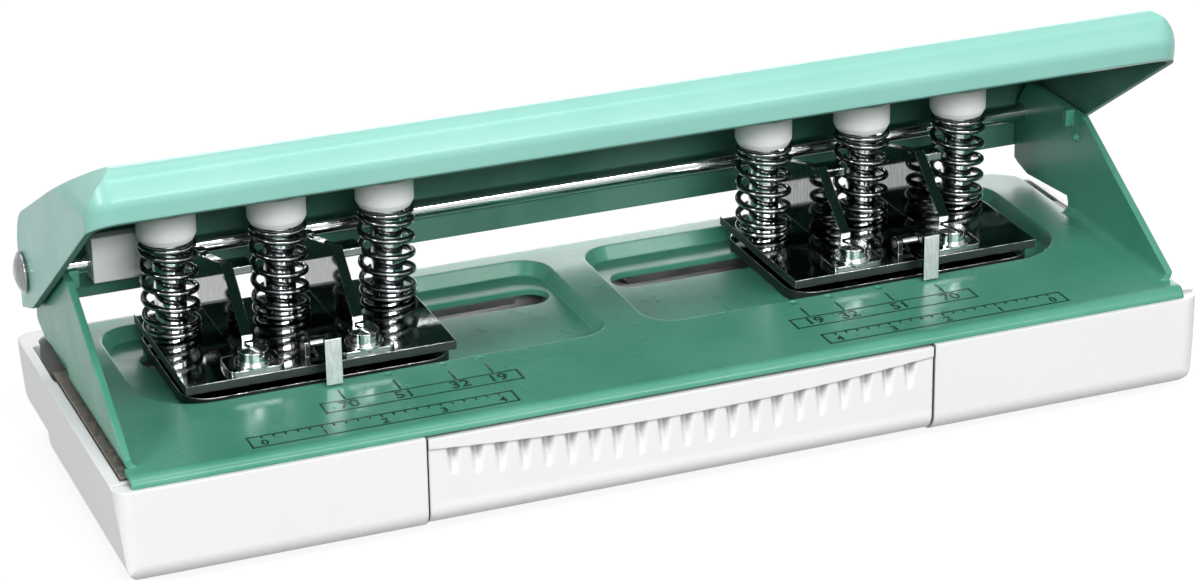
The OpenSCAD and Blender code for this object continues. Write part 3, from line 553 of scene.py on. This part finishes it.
# %% Geometry node helpers
def new_recipe(name, inputs):
    """An empty geometry tree with named inputs, and its two end nodes."""
    tree = bpy.data.node_groups.new(name, "GeometryNodeTree")
    for label, kind, value in inputs:
        socket = tree.interface.new_socket(label, in_out="INPUT", socket_type="NodeSocket" + kind)
        socket.default_value = value
    tree.interface.new_socket("Geometry", in_out="OUTPUT", socket_type="NodeSocketGeometry")
    return tree, tree.nodes.new("NodeGroupInput").outputs, tree.nodes.new("NodeGroupOutput")


def add_step(tree, kind, values=None, **settings):
    """A node of a geometry tree: values are plain values or outputs of other nodes."""
    node = tree.nodes.new(kind)
    for name, value in settings.items():
        setattr(node, name, value)
    for name, value in (values or {}).items():
        feed(tree, node.inputs[name], value)
    return node.outputs


def finish_recipe(tree, end, geometry, material, smooth=True):
    """Shading, real geometry instead of instances, and the material."""
    shaded = add_step(tree, "GeometryNodeSetShadeSmooth", {"Geometry": geometry, "Shade Smooth": smooth})
    real = add_step(tree, "GeometryNodeRealizeInstances", {"Geometry": shaded[0]})
    painted = add_step(tree, "GeometryNodeSetMaterial", {"Geometry": real[0], "Material": material})
    tree.links.new(painted[0], end.inputs["Geometry"])


def make_piece(name, tree, values):
    """Runs a recipe with these values and keeps the result as a plain piece."""
    carrier = bpy.data.objects.new(name + "_carrier", bpy.data.meshes.new(name + "_carrier"))
    bpy.context.scene.collection.objects.link(carrier)
    modifier = carrier.modifiers.new("recipe", "NODES")
    modifier.node_group = tree
    for item in tree.interface.items_tree:
        if item.item_type == "SOCKET" and item.in_out == "INPUT" and item.name in values:
            modifier[item.identifier] = values[item.name]
    result = carrier.evaluated_get(bpy.context.evaluated_depsgraph_get())
    mesh = bpy.data.meshes.new_from_object(result)
    bpy.data.objects.remove(carrier)
    piece = bpy.data.objects.new(name, mesh)
    bpy.context.scene.collection.objects.link(piece)
    return piece


print("geometry helpers ready")

# %% [markdown]
# ## The springs
# Each punch has a compression spring between the guide plate and the cap. A real one has a closed turn at
# each end, where the wire lies on itself, and open turns between them. A curve that only rises evenly would
# miss those ends, so the recipe winds a flat spiral and then lifts it: a wire's thickness over the first
# turn, the free height over the open turns, and a wire's thickness again over the last.

# %% Springs
spring_recipe, spring_in, spring_end = new_recipe("wound_spring", [
    ("Foot", "Vector", (0, 0, 0)), ("Height", "Float", 16.8 * MM), ("Coil Radius", "Float", 4.45 * MM),
    ("Wire Radius", "Float", 0.55 * MM), ("Turns", "Float", 6.5),
])
flat_spiral = add_step(spring_recipe, "GeometryNodeCurveSpiral", {
    "Resolution": 36, "Rotations": spring_in["Turns"], "Start Radius": spring_in["Coil Radius"],
    "End Radius": spring_in["Coil Radius"], "Height": 0.0,
})
way = add_step(spring_recipe, "GeometryNodeSplineParameter")
turn = reckoned(spring_recipe, "MULTIPLY", way["Factor"], spring_in["Turns"])
last_turn = reckoned(spring_recipe, "SUBTRACT", spring_in["Turns"], 1.0)
wire = reckoned(spring_recipe, "MULTIPLY", spring_in["Wire Radius"], 2.0)
three_wires = reckoned(spring_recipe, "MULTIPLY", wire, 3.0)
free_height = reckoned(spring_recipe, "SUBTRACT", spring_in["Height"], three_wires)
above_foot = spring_in["Wire Radius"]
lifts = ((0.0, 1.0, wire), (1.0, last_turn, free_height), (last_turn, spring_in["Turns"], wire))
for first, last, rise in lifts:
    climbed = add_step(spring_recipe, "ShaderNodeMapRange", {
        "Value": turn, "From Min": first, "From Max": last, "To Min": 0.0, "To Max": rise,
    })
    above_foot = reckoned(spring_recipe, "ADD", above_foot, climbed[0])
lift = add_step(spring_recipe, "ShaderNodeCombineXYZ", {"Z": above_foot})
coil = add_step(spring_recipe, "GeometryNodeSetPosition", {"Geometry": flat_spiral[0], "Offset": lift[0]})
wire_section = add_step(spring_recipe, "GeometryNodeCurvePrimitiveCircle", {
    "Resolution": 12, "Radius": spring_in["Wire Radius"],
})
tube = add_step(spring_recipe, "GeometryNodeCurveToMesh", {
    "Curve": coil[0], "Profile Curve": wire_section[0], "Fill Caps": True,
})
standing = add_step(spring_recipe, "GeometryNodeTransform", {
    "Geometry": tube[0], "Translation": spring_in["Foot"],
})
finish_recipe(spring_recipe, spring_end, standing[0], spring_steel)

for side in SIDES:
    for number in (1, 2, 3):
        node = f"{side}_punch_spring_{number}"
        low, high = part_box(node)
        foot = Vector(((low.x + high.x) / 2, (low.y + high.y) / 2, low.z))
        height = high.z - low.z
        spring = make_piece(f"{side}_spring_{number}", spring_recipe, {"Foot": foot, "Height": height})
        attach(spring, f"{side}_carriage")
        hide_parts(node)
        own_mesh(spring)
print("faces in one spring:", len(spring.data.polygons), "height in mm:", round(height / MM, 2))

# %% [markdown]
# ## The bracket screws
# Each bracket is held by a slotted screw with a straight head, on a washer. The solids have round heads with
# a cross, so fuller ones stand for them. Two stand in a row on each carriage: the recipe cuts a slot across a
# disc, sets it on a wider, thinner disc, and puts copies of both in a row.

# %% Screws
SLOT_TURN = math.radians(20)
screw_recipe, screw_in, screw_end = new_recipe("row_of_screws", [
    ("Start", "Vector", (0, 0, 0)), ("Step", "Vector", (0, 0, 0)),
    ("Head Radius", "Float", 2.5 * MM), ("Head Height", "Float", 2.0 * MM),
    ("Washer Radius", "Float", 3.2 * MM), ("Washer Height", "Float", 0.5 * MM),
    ("Slot", "Vector", (0.8 * MM, 8 * MM, 1.6 * MM)),
])


def lifted(geometry, height, turn=0.0):
    """Turns geometry of the screw's recipe about Z and moves it up."""
    rise = add_step(screw_recipe, "ShaderNodeCombineXYZ", {"Z": height})
    return add_step(screw_recipe, "GeometryNodeTransform", {
        "Geometry": geometry, "Translation": rise[0], "Rotation": (0, 0, turn),
    })[0]


screw_places = add_step(screw_recipe, "GeometryNodeMeshLine", {
    "Count": 2, "Start Location": screw_in["Start"], "Offset": screw_in["Step"],
})
discs = {}
for name in ("Head", "Washer"):
    discs[name] = add_step(screw_recipe, "GeometryNodeMeshCylinder", {
        "Vertices": 48, "Radius": screw_in[name + " Radius"], "Depth": screw_in[name + " Height"],
    })[0]
half_head = reckoned(screw_recipe, "MULTIPLY", screw_in["Head Height"], 0.5)
half_washer = reckoned(screw_recipe, "MULTIPLY", screw_in["Washer Height"], 0.5)
slot_block = add_step(screw_recipe, "GeometryNodeMeshCube", {"Size": screw_in["Slot"]})
slotted = add_step(screw_recipe, "GeometryNodeMeshBoolean", {
    "Mesh 1": discs["Head"], "Mesh 2": lifted(slot_block[0], half_head, SLOT_TURN),
}, operation="DIFFERENCE")
head_middle = reckoned(screw_recipe, "ADD", half_head, screw_in["Washer Height"])
screw_pieces = screw_recipe.nodes.new("GeometryNodeJoinGeometry")
screw_recipe.links.new(lifted(slotted[0], head_middle), screw_pieces.inputs[0])
screw_recipe.links.new(lifted(discs["Washer"], half_washer), screw_pieces.inputs[0])
screw_copies = add_step(screw_recipe, "GeometryNodeInstanceOnPoints", {
    "Points": screw_places[0], "Instance": screw_pieces.outputs[0],
})
finish_recipe(screw_recipe, screw_end, screw_copies[0], chrome, smooth=False)

SCREW_HEAD = 1.7 * MM
for side in SIDES:
    feet = []
    for place in ("inner", "outer"):
        low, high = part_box(f"{side}_web_screw_{place}")
        feet.append(Vector(((low.x + high.x) / 2, (low.y + high.y) / 2, high.z - SCREW_HEAD)))
    screws = make_piece(f"{side}_screws", screw_recipe, {"Start": feet[0], "Step": feet[1] - feet[0]})
    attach(screws, f"{side}_carriage")
    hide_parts(f"{side}_web_screw_inner", f"{side}_web_screw_outer")
print("screws on each carriage:", len(feet), "faces:", len(screws.data.polygons))

# %% [markdown]
# ## The chip door
# The door's front has a crescent lip with a row of soft finger scoops under it. The solid has the row as
# straight cuts. Scoops are easier as a field: the front of a finely divided block is pushed in by a depth
# that is worked out at every point from its distance to the nearest scoop and from its way down from the lip.
# The depth falls off softly to both sides. First the rows of points are bent, so that one of them lies on the
# lip's edge and keeps that edge clean. The lowest rows go back along the round lower edge.

# %% Chip door
DOOR_LIP = 0.3 * MM
DOOR_BARREL = 3.2 * MM
DOOR_COLUMNS = 361
DOOR_ROWS = 65
LIP_ROW = 52 / (DOOR_ROWS - 1)
BARREL_SHOWN = 0.9
door_recipe, door_in, door_end = new_recipe("scooped_door", [
    ("Half Length", "Float", 44.75 * MM), ("Face", "Float", 0.0), ("Thickness", "Float", 2.5 * MM),
    ("Axis", "Float", 0.0), ("Top", "Float", 0.0), ("Barrel", "Float", DOOR_BARREL),
    ("Pin Length", "Float", 0.1), ("Pin Radius", "Float", 1.3 * MM), ("Lip", "Float", DOOR_LIP),
    ("Lip Edge", "Float", 1.7 * MM), ("Lip Dip", "Float", 2.1 * MM), ("Pitch", "Float", 4.05 * MM),
    ("Last Scoop", "Float", 10.0), ("Scoop Width", "Float", 1.4 * MM), ("Scoop Depth", "Float", 1.7 * MM),
    ("Scoop Length", "Float", 4.6 * MM), ("Extra Length", "Float", 1.5 * MM),
])


def door_math(operation, first, second):
    """The result of one Math node in the door's recipe."""
    return reckoned(door_recipe, operation, first, second)


full_length = door_math("MULTIPLY", door_in["Half Length"], 2.0)
bottom = door_math("SUBTRACT", door_in["Axis"], door_math("MULTIPLY", door_in["Barrel"], BARREL_SHOWN))
full_height = door_math("SUBTRACT", door_in["Top"], bottom)
block_size = add_step(door_recipe, "ShaderNodeCombineXYZ", {
    "X": full_length, "Y": door_in["Thickness"], "Z": full_height,
})
block = add_step(door_recipe, "GeometryNodeMeshCube", {
    "Size": block_size[0], "Vertices X": DOOR_COLUMNS, "Vertices Y": 2, "Vertices Z": DOOR_ROWS,
})
place = add_step(door_recipe, "GeometryNodeInputPosition")
point = add_step(door_recipe, "ShaderNodeSeparateXYZ", {0: place[0]})
end_share = door_math("DIVIDE", point["X"], door_in["Half Length"])
bow = door_math("SUBTRACT", 1.0, door_math("MULTIPLY", end_share, end_share))
lip_drop = door_math("MULTIPLY", door_in["Lip Dip"], bow)
lip_line = door_math("SUBTRACT", door_math("SUBTRACT", door_in["Top"], door_in["Lip Edge"]), lip_drop)
row = door_math("ADD", door_math("DIVIDE", point["Z"], full_height), 0.5)
low_rows = add_step(door_recipe, "ShaderNodeMapRange", {
    "Value": row, "From Min": 0.0, "From Max": LIP_ROW, "To Min": bottom, "To Max": lip_line,
})
high_rows = add_step(door_recipe, "ShaderNodeMapRange", {
    "Value": row, "From Min": LIP_ROW, "From Max": 1.0, "To Min": 0.0,
    "To Max": door_math("SUBTRACT", door_in["Top"], lip_line),
})
nearest = door_math("ROUND", door_math("DIVIDE", point["X"], door_in["Pitch"]), 0.0)
nearest = door_math("MINIMUM", nearest, door_in["Last Scoop"])
nearest = door_math("MAXIMUM", nearest, door_math("MULTIPLY", door_in["Last Scoop"], -1.0))
aside = door_math("SUBTRACT", point["X"], door_math("MULTIPLY", nearest, door_in["Pitch"]))
scoop_length = door_math("ADD", door_in["Scoop Length"], door_math("MULTIPLY", door_in["Extra Length"], bow))
height = door_math("ADD", low_rows[0], high_rows[0])
way_down = door_math("DIVIDE", door_math("SUBTRACT", lip_line, height), scoop_length)
taper = scaled(door_recipe, way_down, 1.0, 0.0)
scoop_width = door_math("MULTIPLY", door_in["Scoop Width"], scaled(door_recipe, taper, 0.5, 1.0))
side_share = door_math("DIVIDE", aside, scoop_width)
hollow = door_math("SUBTRACT", 1.0, door_math("MULTIPLY", side_share, side_share))
hollow = door_math("POWER", door_math("MAXIMUM", hollow, 0.0), 2.0)
depth = door_math("MULTIPLY", door_math("MULTIPLY", hollow, taper), door_in["Scoop Depth"])
below_axis = door_math("MAXIMUM", door_math("SUBTRACT", door_in["Axis"], height), 0.0)
barrel_share = door_math("DIVIDE", below_axis, door_in["Barrel"])
barrel_rest = door_math("SUBTRACT", 1.0, door_math("MULTIPLY", barrel_share, barrel_share))
set_back = door_math("SUBTRACT", 1.0, door_math("POWER", barrel_rest, 0.5))
depth = door_math("ADD", depth, door_math("MULTIPLY", set_back, door_in["Barrel"]))
is_lip = door_math("GREATER_THAN", row, LIP_ROW - 0.001)
pushed = add_step(door_recipe, "ShaderNodeMix", {
    "Factor": is_lip, "A": depth, "B": door_math("MULTIPLY", door_in["Lip"], -1.0),
})
is_front = door_math("LESS_THAN", point["Y"], 0.0)
half_thick = door_math("MULTIPLY", door_in["Thickness"], 0.5)
middle = door_math("ADD", door_in["Face"], half_thick)
sunk = door_math("ADD", point["Y"], door_math("MULTIPLY", pushed[0], is_front))
new_place = add_step(door_recipe, "ShaderNodeCombineXYZ", {
    "X": point["X"], "Y": door_math("ADD", sunk, middle), "Z": height,
})
panel = add_step(door_recipe, "GeometryNodeSetPosition", {"Geometry": block[0], "Position": new_place[0]})
axis_y = door_math("ADD", door_in["Face"], door_in["Barrel"])
axis_place = add_step(door_recipe, "ShaderNodeCombineXYZ", {"Y": axis_y, "Z": door_in["Axis"]})
door_pieces = door_recipe.nodes.new("GeometryNodeJoinGeometry")
door_recipe.links.new(panel[0], door_pieces.inputs[0])
core = door_math("SUBTRACT", door_in["Barrel"], 0.02 * MM)
for radius, length in ((core, full_length), (door_in["Pin Radius"], door_in["Pin Length"])):
    rod = add_step(door_recipe, "GeometryNodeMeshCylinder", {
        "Vertices": 96, "Radius": radius, "Depth": length,
    })
    laid = add_step(door_recipe, "GeometryNodeTransform", {
        "Geometry": rod[0], "Translation": axis_place[0], "Rotation": (0, math.radians(90), 0),
    })
    door_recipe.links.new(laid[0], door_pieces.inputs[0])
finish_recipe(door_recipe, door_end, door_pieces.outputs[0], white_plastic, smooth=False)

low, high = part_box("chip_door")
door = make_piece("scooped_chip_door", door_recipe, {
    "Face": low.y + DOOR_LIP, "Axis": low.z + DOOR_BARREL, "Top": high.z, "Pin Length": high.x - low.x,
})
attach(door, "chip_door")
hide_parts("chip_door")
print("chip door points:", len(door.data.vertices), "faces:", len(door.data.polygons))

# %% [markdown]
# ## Solids that are shaped further
# The next two steps start from a solid and change its form a little. The solid itself stays as it is: a copy
# of its mesh is merged into one closed surface, shaped, and shown in place of the solid.

# %% Helpers for shaped copies
SAME_POINT = 0.001 * MM
SHARP_FOLD = math.radians(25)


def merged_copy(node):
    """A copy of a solid's mesh with its double points merged."""
    copy = bmesh.new()
    copy.from_mesh(nodes[node].data)
    bmesh.ops.remove_doubles(copy, verts=copy.verts, dist=SAME_POINT)
    return copy


def show_instead(name, copy, node, body, material):
    """Turns a shaped copy into a piece that rides on its body in place of the solid."""
    copy.verts.index_update()
    points = [vert.co.copy() for vert in copy.verts]
    faces = [[vert.index for vert in face.verts] for face in copy.faces]
    copy.free()
    mesh = bpy.data.meshes.new(name)
    mesh.from_pydata(points, [], faces)
    mesh.shade_smooth()
    mesh.set_sharp_from_angle(angle=SHARP_FOLD)
    mesh.materials.append(material)
    piece = bpy.data.objects.new(name, mesh)
    bpy.context.scene.collection.objects.link(piece)
    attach(piece, body)
    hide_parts(node)
    return piece


print("helpers for shaped copies ready")

# %% [markdown]
# ## The brackets
# Each carriage has two upright brackets. Their top edge falls from the front corner back to the rod, which
# runs just above it. The solids are taller and have a hole for the rod, so the copies are cut by a sloping
# plane and the cut is closed again.

# %% Brackets
BRACKET_CORNER = Vector((0, 8.2, 34.9)) * MM
BRACKET_FALL = math.radians(14)
bracket_plane = Vector((0, math.sin(BRACKET_FALL), math.cos(BRACKET_FALL)))
for side in SIDES:
    for place in ("inner", "outer"):
        web = f"{side}_web_{place}"
        sheet = merged_copy(web)
        cut = bmesh.ops.bisect_plane(
            sheet, geom=[*sheet.verts, *sheet.edges, *sheet.faces], dist=SAME_POINT,
            plane_co=BRACKET_CORNER, plane_no=bracket_plane, clear_outer=True)
        rim = [item for item in cut["geom_cut"] if isinstance(item, bmesh.types.BMEdge)]
        bmesh.ops.holes_fill(sheet, edges=rim)
        open_edges = [edge for edge in sheet.edges if len(edge.link_faces) != 2]
        bracket = show_instead(
            f"{side}_bracket_{place}", sheet, web, f"{side}_carriage", bracket_plating)
        print(bracket.name, "faces:", len(bracket.data.polygons), "open edges:", len(open_edges))

# %% [markdown]
# ## The handle's lip
# The lip of the pressed handle is bent twice: over its top roll, and again below its middle, where it turns
# down a little further. Light breaks along that second bend, so the lower half of the lip looks deeper. The
# solid's lip is straight there. A copy of its mesh is cut along lines that follow the bend, and the points
# below the bend move back into the handle on both faces of the sheet, so the sheet keeps its thickness. Round
# the corners the move fades out, because the end walls are straight.

# %% Handle
HANDLE_TILT = math.radians(27.5)
HANDLE_PIVOT = Vector((0, 25.5, 31.9)) * MM
UP_THE_LIP = Vector((0, math.sin(HANDLE_TILT), math.cos(HANDLE_TILT)))
OUT_OF_LIP = Vector((0, -math.cos(HANDLE_TILT), math.sin(HANDLE_TILT)))
LIP_REACH = 49 * MM
LIP_BLEND = 8 * MM
BEND_TOP = 3.9 * MM
BEND_STEP = 0.2 * MM
BEND_STEPS = 8
BEND_SLOPE = math.tan(math.radians(35))


def lip_share(vert):
    """How much a point of the handle belongs to its front lip: from 0 on the end walls to 1 on the lip."""
    out = (vert.co - HANDLE_PIVOT).dot(OUT_OF_LIP)
    return min(max((out - LIP_REACH) / LIP_BLEND, 0.0), 1.0)


def bend_depth(down):
    """How far a point this far below the start of the bend moves back: first on a curve, then straight."""
    width = BEND_STEP * BEND_STEPS
    curved = min(max(down, 0.0), width)
    return BEND_SLOPE * (curved * curved / (2 * width) + max(down - width, 0.0))


shell = merged_copy("handle")
for step in range(BEND_STEPS + 1):
    lip_faces = [face for face in shell.faces if all(lip_share(vert) for vert in face.verts)]
    lip_edges = {edge for face in lip_faces for edge in face.edges}
    lip_verts = {vert for face in lip_faces for vert in face.verts}
    level = BEND_TOP - step * BEND_STEP
    bmesh.ops.bisect_plane(
        shell, geom=[*lip_faces, *lip_edges, *lip_verts], dist=SAME_POINT,
        plane_co=HANDLE_PIVOT + UP_THE_LIP * level, plane_no=UP_THE_LIP)
for vert in shell.verts:
    down = BEND_TOP - (vert.co - HANDLE_PIVOT).dot(UP_THE_LIP)
    vert.co -= OUT_OF_LIP * bend_depth(down) * lip_share(vert)
handle = show_instead("bent_handle", shell, "handle", "handle", handle_paint)
print("handle points:", len(handle.data.vertices), "faces:", len(handle.data.polygons))

# %% [markdown]
# ## The printed scale
# The plate has two rows of print in front of each carriage. A page size is chosen by sliding a carriage until
# its pointer stands at a tick, so the upper row gives the gap between the inner holes in millimetres, with
# one tick for each. The lower row is a plain ruler in centimetres. Ink has hardly any thickness, so the print
# is a set of thin slabs just above the paint. The ticks stand in rows and come from a recipe; the frames are
# slabs in one mesh, and the figures are text turned into a mesh before it is placed.

# %% Ink and ticks
def printing_ink(name):
    """Dark screen-printed ink, thin in places."""
    material, tree, surface = start_material(name)
    cover = place_group(tree, fine_grain, {"Scale": 1500.0})["Value"]
    inked = mix_colours(tree, scaled(tree, cover, 0.0, 0.35), linear(16, 46, 36), linear(34, 80, 64))
    tree.links.new(inked, surface.inputs["Base Color"])
    tree.links.new(scaled(tree, cover, 0.35, 0.5), surface.inputs["Roughness"])
    return material


ink = printing_ink("printing_ink")
FRONT = -33 * MM
PLATE_TOP = 19.1 * MM
INK_DEPTH = 0.04 * MM
BOLD = 0.06 * MM
LINE = 0.34 * MM

tick_recipe, tick_in, tick_end = new_recipe("row_of_ticks", [
    ("Start", "Vector", (0, 0, 0)), ("Step", "Vector", (0, 0, 0)), ("Count", "Int", 4),
    ("Size", "Vector", (LINE, 3 * MM, INK_DEPTH)),
])
tick_places = add_step(tick_recipe, "GeometryNodeMeshLine", {
    "Count": tick_in["Count"], "Start Location": tick_in["Start"], "Offset": tick_in["Step"],
})
tick_slab = add_step(tick_recipe, "GeometryNodeMeshCube", {"Size": tick_in["Size"]})
tick_copies = add_step(tick_recipe, "GeometryNodeInstanceOnPoints", {
    "Points": tick_places[0], "Instance": tick_slab[0],
})
finish_recipe(tick_recipe, tick_end, tick_copies[0], ink)


def on_plate(x, y):
    """A point of the print: millimetres from the middle and from the base's front face."""
    return Vector((x * MM, FRONT + y * MM, PLATE_TOP + INK_DEPTH / 2))


def tick_row(name, x, y, step, count, length):
    """A row of ticks that rides on the base."""
    row = make_piece(name, tick_recipe, {
        "Start": on_plate(x, y), "Step": Vector((step * MM, 0, 0)), "Count": count,
        "Size": Vector((LINE, length * MM, INK_DEPTH)),
    })
    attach(row, "base")


# The values of the print are in millimetres.
POINTER = 54
POINTER_SHIFT = 0.6
PAGE_STEP = 9.5
PAGE_TICKS = 3
LAST_PAGE = 25.5
PAGE_TICK_ROW = 17.6
PAGE_TICK = 3.6
RULER_START = 70
RULER_STEP = 2
RULER_TICKS = 21
RULER_TICK_ROW = 7.4
RULER_TICK = 0.9
for side, sign in SIDES.items():
    pointer = sign * POINTER + POINTER_SHIFT
    tick_row(f"{side}_page_ticks", pointer, PAGE_TICK_ROW, -sign * PAGE_STEP, PAGE_TICKS, PAGE_TICK)
    tick_row(f"{side}_last_page_tick", pointer - sign * LAST_PAGE, PAGE_TICK_ROW, 0, 1, PAGE_TICK)
    ruler_start = sign * RULER_START
    tick_row(f"{side}_ruler_ticks", ruler_start, RULER_TICK_ROW, -sign * RULER_STEP, RULER_TICKS, RULER_TICK)
print("ticks per side:", PAGE_TICKS + 1 + RULER_TICKS)

# %% Frames and figures
PAGE_GAPS = (70, 51, 32, 19)
PAGE_FRAME = (11.6, 15.6)
PAGE_MARGINS = (4.5, 4)
PAGE_FIGURE_ROW = 13.6
PAGE_FIGURE = 2.5
RULER_FRAME = (3.9, 8.1)
RULER_MARGIN = 2.5
RULER_LENGTH = 40
RULER_FIGURE_ROW = 5.35
RULER_FIGURE = 1.8


def slab(mesh, x0, x1, y0, y1):
    """A thin printed bar between two corners of the plate, in millimetres."""
    made = bmesh.ops.create_cube(mesh, size=1.0)
    size = Vector(((x1 - x0) * MM, (y1 - y0) * MM, INK_DEPTH))
    middle = on_plate((x0 + x1) / 2, (y0 + y1) / 2)
    for vertex in made["verts"]:
        vertex.co = Vector(a * b for a, b in zip(vertex.co, size)) + middle


def printed_frame(mesh, x0, x1, y0, y1):
    """The four sides of a printed box."""
    line = LINE / MM
    slab(mesh, x0, x1, y0, y0 + line)
    slab(mesh, x0, x1, y1 - line, y1)
    slab(mesh, x0, x0 + line, y0, y1)
    slab(mesh, x1 - line, x1, y0, y1)


def figure(mesh, words, x, y, height):
    """A number printed upright for someone who stands in front of the punch."""
    curve = bpy.data.curves.new("figure", "FONT")
    curve.body = words
    curve.size = height * 1.4 * MM
    curve.extrude = INK_DEPTH / 2
    curve.offset = BOLD
    curve.align_x = "CENTER"
    curve.align_y = "CENTER"
    holder = bpy.data.objects.new("figure", curve)
    flat = bpy.data.meshes.new_from_object(holder)
    flat.transform(holder.matrix_world.Translation(on_plate(x, y)))
    mesh.from_mesh(flat)
    bpy.data.objects.remove(holder)
    bpy.data.meshes.remove(flat)


for side, sign in SIDES.items():
    rows = bmesh.new()
    pointer = sign * POINTER + POINTER_SHIFT
    page_ends = (pointer + sign * PAGE_MARGINS[0], pointer - sign * (LAST_PAGE + PAGE_MARGINS[1]))
    ruler_ends = (RULER_START + RULER_MARGIN, RULER_START - RULER_LENGTH - RULER_MARGIN)
    printed_frame(rows, *sorted(page_ends), *PAGE_FRAME)
    printed_frame(rows, *sorted(sign * end for end in ruler_ends), *RULER_FRAME)
    for gap in PAGE_GAPS:
        x = pointer - sign * (PAGE_GAPS[0] - gap) / 2
        figure(rows, str(gap), x, PAGE_FIGURE_ROW, PAGE_FIGURE)
    for centimetre in range(5):
        x = sign * (RULER_START - 10 * centimetre)
        figure(rows, str(centimetre), x, RULER_FIGURE_ROW, RULER_FIGURE)
    bmesh.ops.recalc_face_normals(rows, faces=rows.faces)
    print_mesh = bpy.data.meshes.new(f"{side}_print")
    rows.to_mesh(print_mesh)
    rows.free()
    print_mesh.materials.append(ink)
    printed = bpy.data.objects.new(f"{side}_print", print_mesh)
    bpy.context.scene.collection.objects.link(printed)
    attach(printed, "base")
print("faces in one print:", len(print_mesh.polygons))
